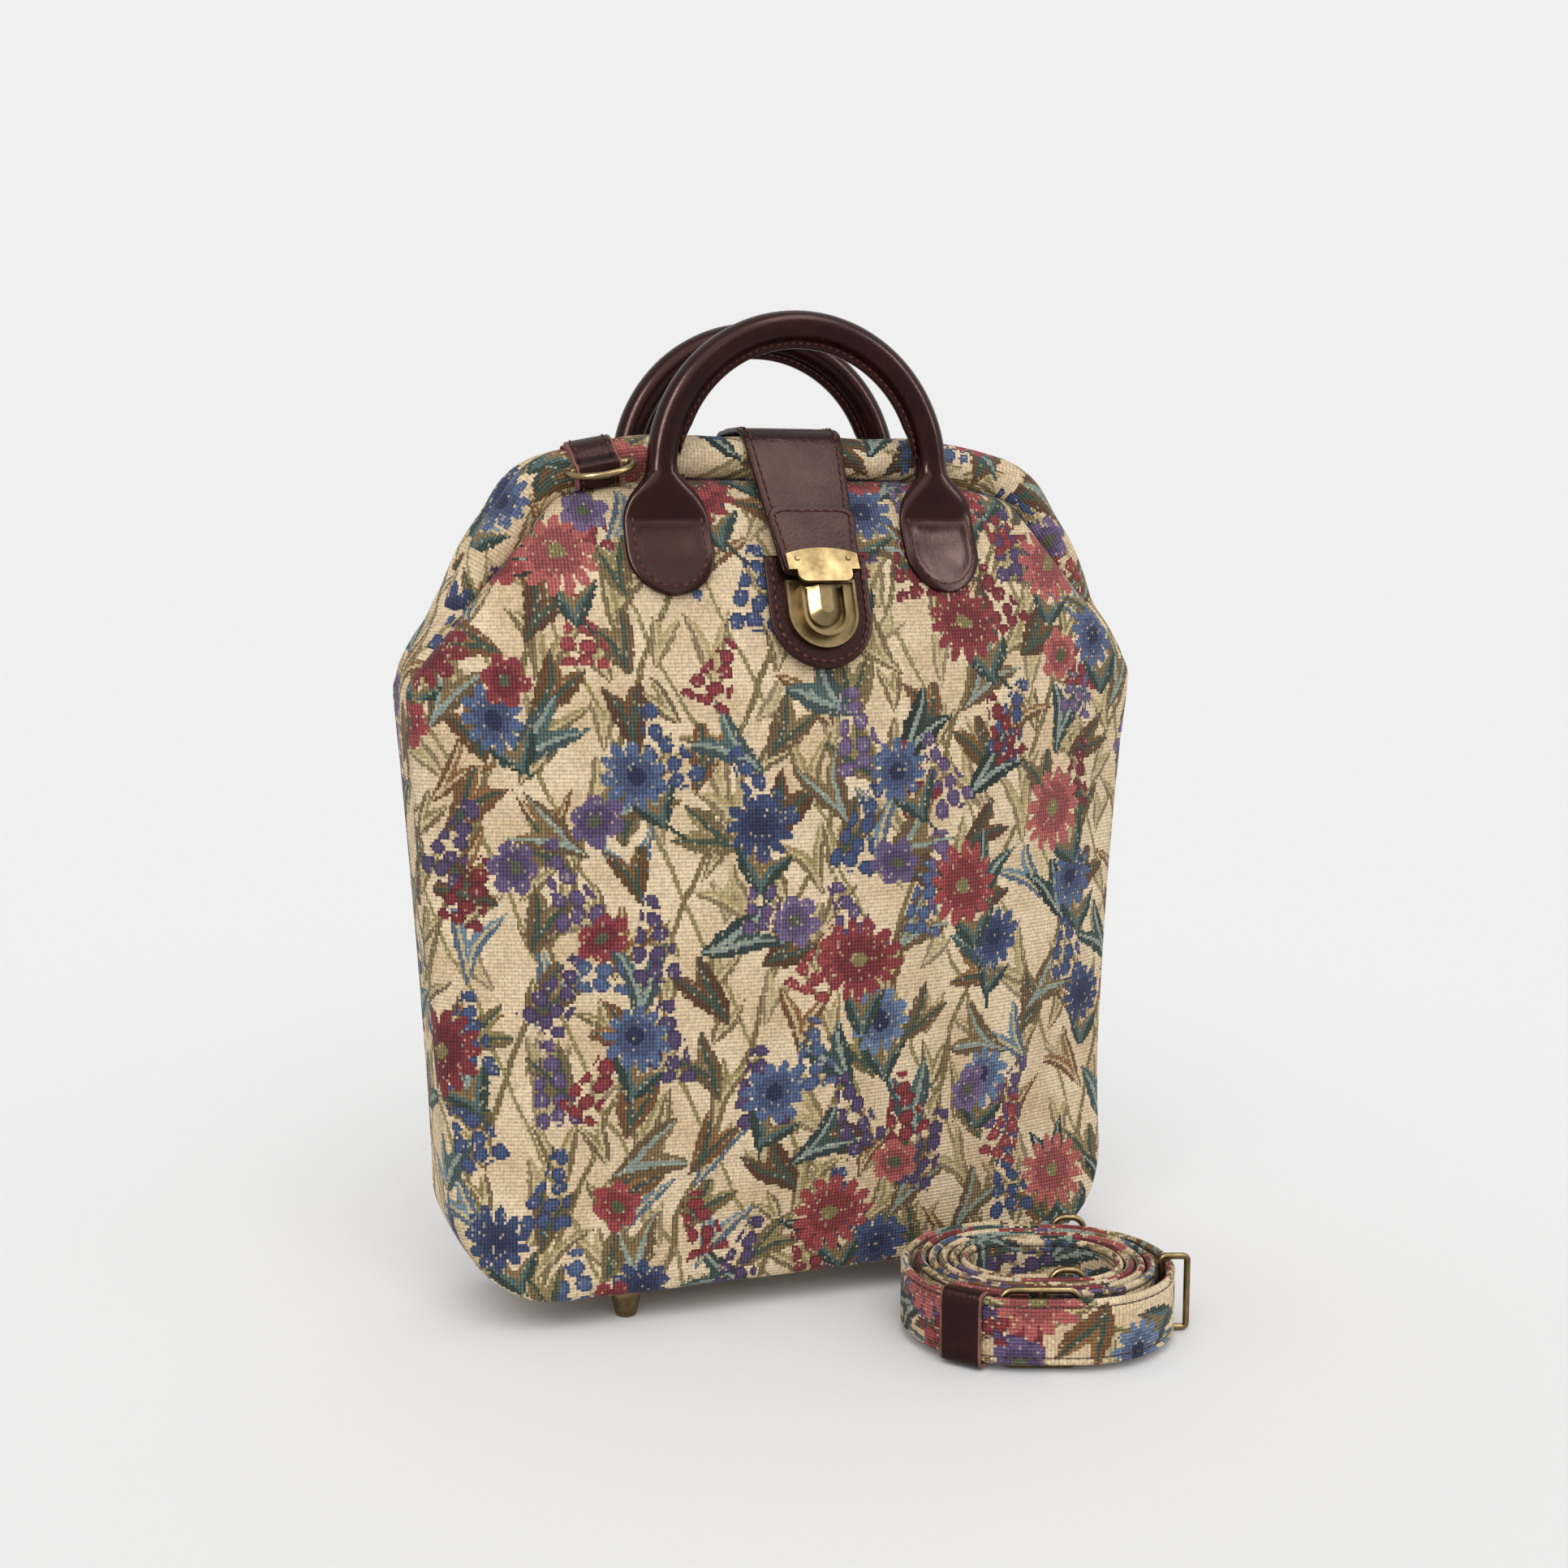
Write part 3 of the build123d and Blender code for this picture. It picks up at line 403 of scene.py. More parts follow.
# %% [markdown]
# Leather here is a dark red-brown, pressed with a fine pebble grain and polished, so it is glossy with a
# soft, broken highlight. Thread is waxed and a little redder. The brass is antiqued: its bright metal is
# toned down with a dark patina that stays in patches. The lining is a plain brown cotton.
# All of them have two tones in patches and a fine grain, so one function makes them from a few sizes.


# %% Leather, thread, brass, steel, board and lining
def finish_from(name, dark, light, patch_mm, grain_mm, grain, rough, pores="TexNoise", **sockets):
    """A finish on Object coordinates: two tones in soft patches, and a fine grain that lifts the surface."""
    made, add, surface = material(name)
    spot = (add("TexCoord"), "Object")
    patch = add("TexNoise", Scale=1 / (patch_mm * MM), Detail=4.0, Roughness=0.6, Vector=spot)
    tone = add("ValToRGB", patch)
    set_stops(tone, ((0.35, dark), (0.68, light)))
    pores = add(pores, Scale=1 / (grain_mm * MM), Vector=spot)
    bump = add("Bump", Strength=grain, Distance=0.12 * MM, Height=pores)
    wear = add("MapRange", From_Min=0.3, From_Max=0.7, To_Min=rough + 0.07, To_Max=rough - 0.05, Value=patch)
    plug(surface, Base_Color=tone, Roughness=wear, Normal=bump, **sockets)
    return made


HIDE = {"Specular_IOR_Level": 0.23, "Specular_Tint": (1.0, 0.62, 0.56, 1.0)}
PEBBLED = {"pores": "TexVoronoi", **HIDE}
# dark red-brown hide whose pebbles break up the highlight
LEATHER = finish_from("Polished pebbled cowhide", "#180A08", "#2B150F", 18, 1.8, 0.9, 0.30, **PEBBLED)
# the same hide stretched smooth, with long, narrow highlights on the grips
ROLLED = finish_from("Polished rolled cowhide", "#160806", "#29100A", 14, 1.3, 0.16, 0.23, **PEBBLED)
# a paler, duller line along a cut edge
RAW_EDGE = finish_from("Painted leather edge", "#6E4540", "#8F625A", 6, 0.8, 0.3, 0.55, **PEBBLED)
# nearly black and dull: painted shade in the stitch groove and its needle holes
GROOVE_SHADE = finish_from("Leather in the stitch holes", "#170A08", "#22100D", 6, 0.8, 0.3, 0.6, **PEBBLED)
# red-brown stitches, lighter than the hide
THREAD = finish_from("Waxed sewing thread", "#50261F", "#6E3E34", 5, 0.5, 0.5, 0.55, **HIDE)
# dark grey-brown stitches: real thread, darkened to paint the shade in the seams of the cloth
SEAM_THREAD_AND_SHADE = finish_from("Dark sewing thread", "#3A2E24", "#5A4A3A", 5, 0.5, 0.5, 0.7)
# aged yellow metal, dull in patches
BRASS = finish_from("Antiqued cast brass", "#625337", "#8E7B58", 10, 0.9, 0.03, 0.33, Metallic=1.0)
# cool grey metal inside the mouth
STEEL = finish_from("Drawn steel rod", "#77777A", "#9A9A9C", 12, 0.6, 0.10, 0.35, Metallic=1.0)
# matt dark brown under the bag
BOARD = finish_from("Cloth-covered fibre board", "#3A2C22", "#54402F", 10, 0.7, 0.6, 0.85)
# matt brown wherever the inside shows
LINING = finish_from("Brown cotton lining", "#5A4632", "#73593E", 12, 0.6, 0.6, 0.9)

METAL_NODES = ("feet", "foot_nuts", "lock_plate", "lock_thumb", "front_d_ring", "back_d_ring", "tongue_plate")
METAL_NODES += ("tongue_rivets", "slide_buckle", "loop_ring", "outer_end_ring", "inner_end_ring")
dressed = [(name, BRASS) for name in METAL_NODES]
dressed += [(name, STEEL) for name in ("hinge_rivets", "front_frame_rod", "back_frame_rod")]
dressed += [("base_board", BOARD)]
for name, finish in dressed:
    node_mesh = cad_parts[name].data
    node_mesh.materials.clear()
    node_mesh.materials.append(finish)
print(len(dressed), "solids keep their shape and get a finish")

# %% [markdown]
# Two helpers make nearly every soft piece. A slab takes a grid of points on the outer face and gives the
# cloth its thickness, with a second layer inside and a closed border. A sweep carries a rounded section
# along a line; its width, thickness and squareness may change on the way, so that a round grip can
# flatten into a tab. Solidify and a bevelled curve could do some of this, but a thickness that is worked out
# point by point stays even in tight folds. Both keep a UV map in metres, which the tapestry reads.


# %% Helpers for cloth and leather meshes
def keep(name, verts, faces, uvs, materials, face_material=None):
    """A new object at the origin, smooth, with a UV map named cloth given for each face corner."""
    mesh = bpy.data.meshes.new(name)
    mesh.from_pydata([tuple(v) for v in np.asarray(verts) * MM], [], faces)
    layer = mesh.uv_layers.new(name="cloth")
    layer.data.foreach_set("uv", (np.asarray(uvs, float) * MM).ravel())
    for finish in materials:
        mesh.materials.append(finish)
    if face_material is not None:
        mesh.polygons.foreach_set("material_index", face_material)
    edit = bmesh.new()
    edit.from_mesh(mesh)
    bmesh.ops.recalc_face_normals(edit, faces=edit.faces)
    edit.to_mesh(mesh)
    edit.free()
    mesh.polygons.foreach_set("use_smooth", [True] * len(mesh.polygons))
    mesh.update()
    return stand(name, mesh)


def grid_normals(grid):
    """Unit normals of a grid of points, rows first."""
    across, along = np.gradient(grid, axis=1), np.gradient(grid, axis=0)
    normal = np.cross(across, along)
    return normal / np.maximum(np.linalg.norm(normal, axis=2, keepdims=True), 1e-9)


def slab(name, grid, uv, thick, outward, finish, inner):
    """Closed cloth from a grid of outer points in mm; outward is a point the outer face looks away from."""
    rows, cols = grid.shape[:2]
    normal = grid_normals(grid)
    if np.sum(normal * (grid - np.asarray(outward))) < 0:
        normal = -normal
    verts = np.concatenate([grid.reshape(-1, 3), (grid - normal * thick).reshape(-1, 3)])
    flat_uv = uv.reshape(-1, 2)
    number = np.arange(rows * cols).reshape(rows, cols)
    quad = np.stack([number[:-1, :-1], number[:-1, 1:], number[1:, 1:], number[1:, :-1]], -1).reshape(-1, 4)
    ring = np.concatenate([number[0, :], number[1:, -1], number[-1, -2::-1], number[-2:0:-1, 0]])
    border = np.stack([ring, np.roll(ring, -1), np.roll(ring, -1) + rows * cols, ring + rows * cols], -1)
    faces = np.concatenate([quad, quad[:, ::-1] + rows * cols, border])
    slots = [0] * len(quad) + [1] * len(quad) + [0] * len(border)
    uvs = flat_uv[faces.ravel() % (rows * cols)]
    return keep(name, verts, faces.tolist(), uvs, [finish, inner], slots)


def unit(v):
    """Vectors scaled to length one."""
    v = np.asarray(v, float)
    return v / np.maximum(np.linalg.norm(v, axis=-1, keepdims=True), 1e-9)


ROUND, BOXY = 2.0, 6.0  # squareness of a section: an ellipse, and a strap with rounded edges
NARROW_SIDE = 0.76  # cosine from which a face belongs to the narrow side of a section


def lengths(line):
    """Length along a line up to each of its points."""
    return np.concatenate([[0], np.cumsum(np.linalg.norm(np.diff(line, axis=0), axis=1))])


def sweep(name, line, side, wide, thick, square, finish, around=24, bend=None, loop=False, edge=None, section=None):
    """Closed skin of rounded sections along a line in mm. side gives each section's width direction,
    edge a finish for the narrow sides, and section an outline of its own, closed, in shares of wide and thick."""
    line = np.asarray(line, float)
    count = len(line)
    side = unit(np.broadcast_to(side, line.shape))
    ahead = np.roll(line, -1, 0) - np.roll(line, 1, 0) if loop else np.gradient(line, axis=0)
    up = unit(np.cross(unit(ahead), side))
    around = around if section is None else len(section) - 1
    angle = np.linspace(0, 2 * pi, around + 1)
    power = 2 / np.broadcast_to(square, count)[:, None]
    a = np.sign(np.cos(angle)) * np.abs(np.cos(angle)) ** power
    b = np.sign(np.sin(angle)) * np.abs(np.sin(angle)) ** power
    if section is not None:
        a, b = np.asarray(section, float).T
    a, b = a * np.broadcast_to(wide, count)[:, None], b * np.broadcast_to(thick, count)[:, None]
    points = line[:, None] + side[:, None] * a[..., None] + up[:, None] * b[..., None]
    if bend is not None:
        points = bend(points)
    run = lengths(line)
    girth = np.linalg.norm(np.diff(points, axis=1), axis=2)
    girth = np.concatenate([np.zeros((count, 1)), np.cumsum(girth, axis=1)], axis=1)
    uv = np.stack([girth, np.broadcast_to(run[:, None], girth.shape)], -1)
    faces, uvs, slots = [], [], []
    for i in range(count if loop else count - 1):
        j = (i + 1) % count
        slots += [int(abs(cos(2 * pi * (k + 0.5) / around)) > NARROW_SIDE) for k in range(around)]
        for k in range(around):
            m = (k + 1) % around
            faces.append((i * around + k, i * around + m, j * around + m, j * around + k))
            last = uv[j].copy() if j else uv[j] + [0, run[-1] + np.linalg.norm(line[0] - line[-1])]
            uvs += [uv[i, k], uv[i, k + 1], last[k + 1], last[k]]
    verts = points[:, :-1].reshape(-1, 3)
    if not loop:
        for i in (0, count - 1):
            faces.append([i * around + k for k in range(around)])
            uvs += [uv[i, k] for k in range(around)]
            slots.append(1)
    if edge:
        return keep(name, verts, faces, uvs, [finish, edge], slots)
    return keep(name, verts, faces, uvs, [finish])


def blend_row(zs, table, z):
    """Smooth value of a table at heights z, by a cubic through its points."""
    zs, table, z = np.asarray(zs), np.asarray(table), np.asarray(z, float)
    slope = np.gradient(table, zs)
    i = np.clip(np.searchsorted(zs, z) - 1, 0, len(zs) - 2)
    h = zs[i + 1] - zs[i]
    t = np.clip((z - zs[i]) / h, 0, 1)
    a, b = (1 + 2 * t) * (1 - t) ** 2, t * (1 - t) ** 2
    c, d = t * t * (3 - 2 * t), t * t * (t - 1)
    return a * table[i] + b * h * slope[i] + c * table[i + 1] + d * h * slope[i + 1]


print("helpers ready")

# %% [markdown]
# The front and back panels are pillow shaped: each height has a depth at the middle and one at the
# side seam, joined by an arc. The front outline narrows to the mouth over sloped shoulders.
# A cloth simulation could puff them up, but its result would no longer fit the solids, so the arcs of the
# solids are used again. Near its border a sewn panel rolls inwards, so the last millimetres drop towards the seam.
# Along the mouth the border is tucked 4 mm further, into the padded rim, so no gap shows when the mouth opens.

# %% Front and back panels
SKIN_Z = (14, 50, 90, 150, 220, 260, 290, 310, 331, 350, 370, 388)
SKIN_MID = (46, 53, 59.5, 65, 67, 67, 65, 61.8, 55.5, 48.2, 36, 24)
SKIN_EDGE = (43, 28, 18.5, 14, 14, 16, 20, 23.5, 25.5, 25.5, 24.5, 22.8)
SKIN_HALF = (168.5, 171, 173, 176.5, 180.5, 183.5, 184, 176, 158, 142, 125, 110)
OUTLINE = ((163.5, 14), (181, 297), (112, 380), (69, 388))  # half width and height at the corners of the front
LOW_Z, TOP_Z, CORNER, CLOTH = 14.0, 388.0, 45, 1.6


def half_wide(z):
    """Half width of the front outline at a height, with rounded corners."""
    z = np.asarray(z, float)
    side, slope, shelf = (x + (u - x) * (z - h) / (k - h) for (x, h), (u, k) in zip(OUTLINE, OUTLINE[1:]))
    wide = -2.0 * np.logaddexp(-side / 2.0, -slope / 2.0)
    wide = -3.0 * np.logaddexp(-wide / 3.0, -shelf / 3.0)
    drop = np.clip(LOW_Z + CORNER - z, 0, CORNER)
    return wide - CORNER + np.sqrt(CORNER**2 - drop**2)


def depth(x, z):
    """Half depth of the pillow at a point of the front view."""
    mid, edge, half = (blend_row(SKIN_Z, row, z) for row in (SKIN_MID, SKIN_EDGE, SKIN_HALF))
    sag = np.maximum(mid - edge, 0.5)
    radius = (half**2 + sag**2) / (2 * sag)
    return edge + np.sqrt(np.maximum(radius**2 - np.asarray(x) ** 2, 1)) - (radius - sag)


def border_distance(x, z):
    """Distance of points from the front outline, in mm."""
    rows = np.concatenate([np.linspace(LOW_Z, 62, 60), np.linspace(63, 379, 120), np.linspace(379.2, TOP_Z, 30)])
    edge = np.stack([half_wide(rows), rows], -1)
    foot = np.stack([np.linspace(0, edge[0, 0], 60), np.full(60, LOW_Z)], -1)
    lid = np.stack([np.linspace(edge[-1, 0], 0, 40), np.full(40, TOP_Z)], -1)
    ring = np.concatenate([foot, edge, lid])
    points = np.stack([np.abs(x), z], -1)
    shape = points.shape[:-1]
    points = points.reshape(-1, 1, 2)
    a, b = ring[None, :-1], ring[None, 1:]
    t = np.clip(np.sum((points - a) * (b - a), -1) / np.maximum(np.sum((b - a) ** 2, -1), 1e-9), 0, 1)
    return np.min(np.linalg.norm(points - a - t[..., None] * (b - a), axis=-1), axis=1).reshape(shape)


ROWS, COLUMNS, INSIDE = 120, 121, (0, 0, 200)
ROLL_WIDE, ROLL_DEEP, TUCK_WIDE, TUCK_DEEP = 9.0, 5.0, 6.0, 4.0


def panel_grid(back):
    """Outer points and cloth coordinates of one panel; the back one is turned to face +Y."""
    # rows and columns crowd towards the seams
    share = np.linspace(0, 1, ROWS)
    z = LOW_Z + (TOP_Z - LOW_Z) * (share - 0.035 * np.sin(2 * pi * share) - 0.02 * np.sin(4 * pi * share))
    s = np.linspace(-1, 1, COLUMNS)
    s = s + 0.04 * np.sin(pi * s)
    z, s = np.meshgrid(z, s, indexing="ij")
    x = s * half_wide(z)
    y = depth(x, z)
    d = border_distance(x, z)
    roll = np.clip(1 - d / ROLL_WIDE, 0, 1)
    tuck = np.clip(1 - d / TUCK_WIDE, 0, 1) ** 2 * np.clip((z - 325) / 15, 0, 1)
    y = y - ROLL_DEEP * (1 - np.sqrt(1 - roll**2)) - TUCK_DEEP * tuck
    # light waves of the cloth, calm near the seams
    calm = np.clip(d / 40, 0, 1)
    turn = 1.9 if back else 0.0
    y = y + calm * (0.9 * np.sin(x / 31 + z / 57 + turn) * np.sin(z / 43 - x / 83) + 0.5 * np.sin(x / 17 - z / 23))
    across = np.cumsum(np.hypot(np.diff(x, axis=1), np.diff(y, axis=1)), axis=1)
    across = np.concatenate([np.zeros((ROWS, 1)), across], axis=1)
    middle = COLUMNS // 2
    across -= across[:, middle : middle + 1]
    upward = lengths(np.stack([z[:, middle], y[:, middle]], -1))[:, None]
    uv = np.stack([across, np.broadcast_to(upward, z.shape)], -1) + ((500, 260) if back else (0, 0))
    return np.stack([-x if back else x, y if back else -y, z], -1), uv


panels = {}
for name, back in (("front_panel", False), ("back_panel", True)):
    grid, uv = panel_grid(back)
    panels[name] = slab(name + "_cloth", grid, uv, CLOTH, INSIDE, TAPESTRY, LINING)
    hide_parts(name)
    print(name, len(panels[name].data.polygons), "faces")

# %% [markdown]
# The gusset is one long strip: down one side, under the bottom and up the other side. Its width follows
# the side seams. At its upper ends it swells out over the frame's hinge, then dives between the padded rims.
# It could be three pieces with joints between them. One strip is chosen, as it would be cut from the cloth,
# so that the pattern runs on without a break.

# %% Gusset strip
GUSSET_TOP, FOLD_DEEP, SEAM_IN, BOTTOM_POINTS, ACROSS, PATTERN_SHIFT = 347, 4.2, 0.6, 48, 33, 900
BULGE_Z = (0, 150, 280, 290, 296, 305, 315, 325, 333, 338, 343, 347)
BULGE = (0, 0, 0, 0, 0, 4.5, 7.5, 9, 12, 13.5, 13.5, 9)
STRETCHES = ((GUSSET_TOP, 305, 22), (302, 282, 16), (276, 62, 60), (59, LOW_Z, 26))  # from, to, points
rise = np.concatenate([np.linspace(*stretch) for stretch in STRETCHES])
right = np.stack([half_wide(rise), rise], -1)
bottom_x = np.linspace(right[-1, 0], -right[-1, 0], BOTTOM_POINTS + 2)[1:-1]
path = np.concatenate([right, np.stack([bottom_x, np.full(BOTTOM_POINTS, LOW_Z)], -1), right[::-1] * (-1, 1)])
run = lengths(path)
along = unit(np.gradient(path, axis=0))
inwards = np.stack([along[:, 1], -along[:, 0]], -1)
inwards *= np.sign(np.sum(inwards * (INSIDE[::2] - path), axis=1, keepdims=True))
q = np.linspace(-1, 1, ACROSS)
half_y = depth(path[:, 0], np.clip(path[:, 1], LOW_Z, TOP_Z)) - FOLD_DEEP
seam_y = half_y - SEAM_IN
half_y = half_y * (1 - 0.45 * np.clip((path[:, 1] - 322) / 25, 0, 1))
y = q[None] * half_y[:, None]
d = half_y[:, None] - np.abs(y)
roll = np.clip(1 - d / 5.0, 0, 1)
sink = FOLD_DEEP * (1 - np.sqrt(1 - roll**2)) - 0.6 * (1 - q[None] ** 2)
bulge = blend_row(BULGE_Z, BULGE, path[:, 1])
points = path[:, None] + inwards[:, None] * sink[..., None]
points[..., 0] += np.sign(path[:, :1]) * bulge[:, None] * (1 - np.abs(q[None]) ** 3)
grid = np.stack([points[..., 0], y, points[..., 1]], -1)
across = np.cumsum(np.linalg.norm(np.diff(grid, axis=1, prepend=grid[:, :1]), axis=2), axis=1)
across += PATTERN_SHIFT - across[:, ACROSS // 2][:, None]
uv = np.stack([across, np.broadcast_to(run[:, None], y.shape)], -1)
gusset = slab("gusset_cloth", grid, uv, CLOTH, INSIDE, TAPESTRY, LINING)
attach(gusset, "bag")
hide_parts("gusset")
print("gusset strip", round(run[-1]), "mm long")

# %% [markdown]
# Each half of the mouth is a padded roll of tapestry on a steel rod. The roll follows the rod up the
# shoulder, over a rounded corner and along the top. Its legs get slimmer and end in the gusset's fold.
# A curve with a round bevel could make it. The sweep is used because it can also thin the legs and give the
# padding a slight ripple.

# %% Padded rims
RIM_Y, RIM_R, RIM_TOP, RIM_BEND, LEG_LOW, LEG_RISE = 11.0, 10.7, 397.5, 30, 327, 36
RIM_CORNERS = [(70, RIM_TOP), (118, 388), (150, 339), (156, 328)]  # x and z on the right, from the top down


def rounded(points, radius, step):
    """A polyline with its corners rounded, as points about step apart."""
    points = np.asarray(points, float)
    made = [points[0]]
    for a, b, c in zip(points, points[1:], points[2:]):
        u, v = unit(a - b), unit(c - b)
        half = np.arccos(np.clip(np.dot(u, v), -1, 1)) / 2
        cut = radius / np.tan(half)
        middle = b + unit(u + v) * radius / np.sin(half)
        start, stop = b + u * cut - middle, b + v * cut - middle
        arc = pi - 2 * half
        for t in np.linspace(0, 1, max(4, int(radius * arc / step))):
            made.append(middle + (np.sin((1 - t) * arc) * start + np.sin(t * arc) * stop) / np.sin(arc))
    made = np.array(made + [points[-1]])
    run = lengths(made)
    even = np.linspace(0, run[-1], int(run[-1] / step))
    return np.stack([np.interp(even, run, made[:, k]) for k in range(made.shape[1])], -1)


def rim(name, node, body, sign, shift):
    """Padded roll of one half of the mouth; sign is -1 in front."""
    line = rounded([(-x, z) for x, z in reversed(RIM_CORNERS)] + RIM_CORNERS, RIM_BEND, 3.0)
    leg = np.clip((line[:, 1] - LEG_LOW) / LEG_RISE, 0, 1)
    radius = RIM_R * (0.6 + 0.4 * np.sin(leg * pi / 2))
    count = np.arange(len(line))
    ripple = 0.25 * np.sin(count * 0.55 + shift) + 0.2 * np.sin(count * 0.23)
    spine = np.stack([line[:, 0], np.full(len(line), sign * RIM_Y), line[:, 1]], -1)
    roll = sweep(name, spine, (0, 1, 0), radius + 0.3 * ripple, radius + ripple - 0.2, ROUND, TAPESTRY, around=32)
    # another part of the pattern on each half
    for layer in roll.data.uv_layers:
        moved = np.zeros(len(layer.data) * 2)
        layer.data.foreach_get("uv", moved)
        layer.data.foreach_set("uv", moved + shift * 0.37)
    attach(roll, body)
    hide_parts(node)
    return roll


rims = [
    rim("front_rim_roll", "front_rim_sleeve", "front_frame", -1, 1.0),
    rim("back_rim_roll", "back_rim_sleeve", "back_frame", 1, 2.6),
]
print("rims", [len(r.data.polygons) for r in rims], "faces")

# %% [markdown]
# Stitches repeat, so Geometry Nodes make them: a line is cut at the stitch pitch, and a small
# lens-shaped stitch is set on each point along the line. Copies by hand would do, but a tree can be run again
# with another pitch for each seam. The pressed groove with its needle holes, where shade falls between the stitches,
# is painted as one thin dark line. The rows are then turned into a plain mesh.

# %% Stitch rows
ROW_INPUTS = {
    "Geometry": "Geometry",
    "Pitch": "Float",
    "Stitch length": "Float",
    "Thread radius": "Float",
    "Thread": "Material",
    "Groove": "Material",
}
stitching, add, g, end = group("Stitch row", ROW_INPUTS, {"Geometry": "Geometry"}, "GeometryNodeTree")
cut = add("GeometryNodeResampleCurve", mode="LENGTH", Curve=(g, "Geometry"), Length=(g, "Pitch"))
points = add("GeometryNodeCurveToPoints", mode="EVALUATED", Curve=cut)
bead = add("GeometryNodeMeshUVSphere", Segments=6, Rings=5, Radius=1.0)
half = add("Math MULTIPLY", (g, "Stitch length"), 0.5)
scale = add("CombineXYZ", X=half, Y=(g, "Thread radius"), Z=(g, "Thread radius"))
aim = add("FunctionNodeAlignRotationToVector", axis="X", Vector=(points, "Tangent"))
laid = add("GeometryNodeInstanceOnPoints", Points=points, Instance=bead, Rotation=aim, Scale=scale)
real = add("GeometryNodeRealizeInstances", laid)
painted = add("GeometryNodeSetMaterial", Geometry=real, Material=(g, "Thread"))
# painted shade: a thin dark tube along the row stands for the shaded groove and needle holes
thin = add("Math MULTIPLY", (g, "Thread radius"), 0.6)
ring = add("GeometryNodeCurvePrimitiveCircle", Resolution=5, Radius=thin)
furrow_shade = add("GeometryNodeCurveToMesh", Curve=cut, Profile_Curve=ring)
furrow_shade = add("GeometryNodeSetMaterial", Geometry=furrow_shade, Material=(g, "Groove"))
row = add("GeometryNodeJoinGeometry", furrow_shade)
plug(row, painted)
plug(end, row)


def sew(name, lines, pitch=4.4, length=3.3, radius=0.55, thread=THREAD):
    """Stitches along lines of points in mm, over a thin dark line of painted groove shade, as one plain mesh object.
    """
    data = bpy.data.curves.new(name + "_line", "CURVE")
    data.dimensions = "3D"
    for line in lines:
        spline = data.splines.new("POLY")
        spline.points.add(len(line) - 1)
        for point, at in zip(spline.points, np.asarray(line, float) * MM):
            point.co = (*at, 1.0)
    row = stand(name + "_line", data)
    modifier = row.modifiers.new("Stitches", "NODES")
    modifier.node_group = stitching
    values = dict(zip(list(ROW_INPUTS)[1:], (pitch * MM, length * MM, radius * MM, thread, GROOVE_SHADE)))
    for item in stitching.interface.items_tree:
        if item.in_out == "INPUT" and item.name in values:
            modifier[item.identifier] = values[item.name]
    bpy.context.view_layer.update()
    found = row.evaluated_get(bpy.context.evaluated_depsgraph_get())
    mesh = bpy.data.meshes.new_from_object(found)
    mesh.polygons.foreach_set("use_smooth", [True] * len(mesh.polygons))
    bpy.data.objects.remove(row)
    return stand(name, mesh)


print("stitch tree:", len(stitching.nodes), "nodes")

# %% [markdown]
# Where a panel meets the gusset, the cloth folds in and the seam lies at the bottom of a narrow valley.
# A dark line in the material could stand for its shade, but it would not follow the fold as the bag turns.
# So a row of dark thread over a dark groove line paints that shade, from the shoulders down the sides and round
# under the bottom.

# %% Side seams
SEWN_UP_TO, VALLEY_DEEP = 318, 1.9
sewn = path[:, 1] < SEWN_UP_TO
valley = (path + inwards * VALLEY_DEEP)[sewn]
seam_lines = [np.stack([valley[:, 0], s * seam_y[sewn], valley[:, 1]], -1) for s in (-1, 1)]
# painted shade: dark thread and a dark groove line at the valley's bottom stand for the shade in the fold
side_seam_shade_rows = sew("side_seam_stitches", seam_lines, 3.4, 3.0, 0.7, SEAM_THREAD_AND_SHADE)
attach(side_seam_shade_rows, "bag")
print("side seams", len(side_seam_shade_rows.data.polygons), "faces")

# %% [markdown]
# The handles are rolled leather, sewn on with flat tabs and closed along the inside of the grip with a welt.
# Grip and tabs could be separate pieces, but the joint between them would show. So one sweep makes each handle
# from tab to tab: flat and wide on the panel, pinched at the neck, and round in the grip.
# The flat ends lean against the pillow of the panel.

# %% Rolled handles
HANDLE_X, GRIP_R, GRIP_Z, GRIP_Y, TAB_R, TAB_Z = 66.0, 7.0, 391.0, 30.2, 19.5, 355.5
tab_z = TAB_Z - TAB_R * np.cos(np.linspace(0.06, pi / 2, 18))
neck_z = np.linspace(TAB_Z + 1.5, GRIP_Z - 1, 26)
tab_wide = np.sqrt(np.maximum(TAB_R**2 - (TAB_Z - tab_z) ** 2, 0.3))
# tables of heights, and of the values there
NECK_Z = (TAB_Z, 363, 369, 375, 379.6, 384, 388.5, 392)
neck_wide = blend_row(NECK_Z, (TAB_R, TAB_R, 19.3, 18, 16, 12.4, 8.6, GRIP_R), neck_z)
leg_z = np.concatenate([tab_z, neck_z])
leg_wide = np.concatenate([tab_wide, neck_wide])
leg_thick = blend_row((330, 352, 363, 371, 377, 384, 391), (1.9, 1.9, 2.0, 2.7, 4.0, 5.7, 7.0), leg_z)
leg_square = blend_row((330, 362, 373, 382, 391), (4.6, 4.6, 3.2, 2.3, 2.0), leg_z)
on_panel = depth(HANDLE_X, leg_z) + 0.4 + leg_thick
lift = blend_row((330, 358, 368, 376, 384, 391), (0, 0, 0.08, 0.35, 0.75, 1.0), leg_z)
leg_y = on_panel * (1 - lift) + lift * (GRIP_Y + (GRIP_Z - leg_z) * 0.42)
bow = np.linspace(0, pi, 60)[1:-1]
even = np.ones(len(bow))
arch = np.stack([-HANDLE_X * np.cos(bow), -GRIP_Y * even, GRIP_Z + HANDLE_X * np.sin(bow)], -1)
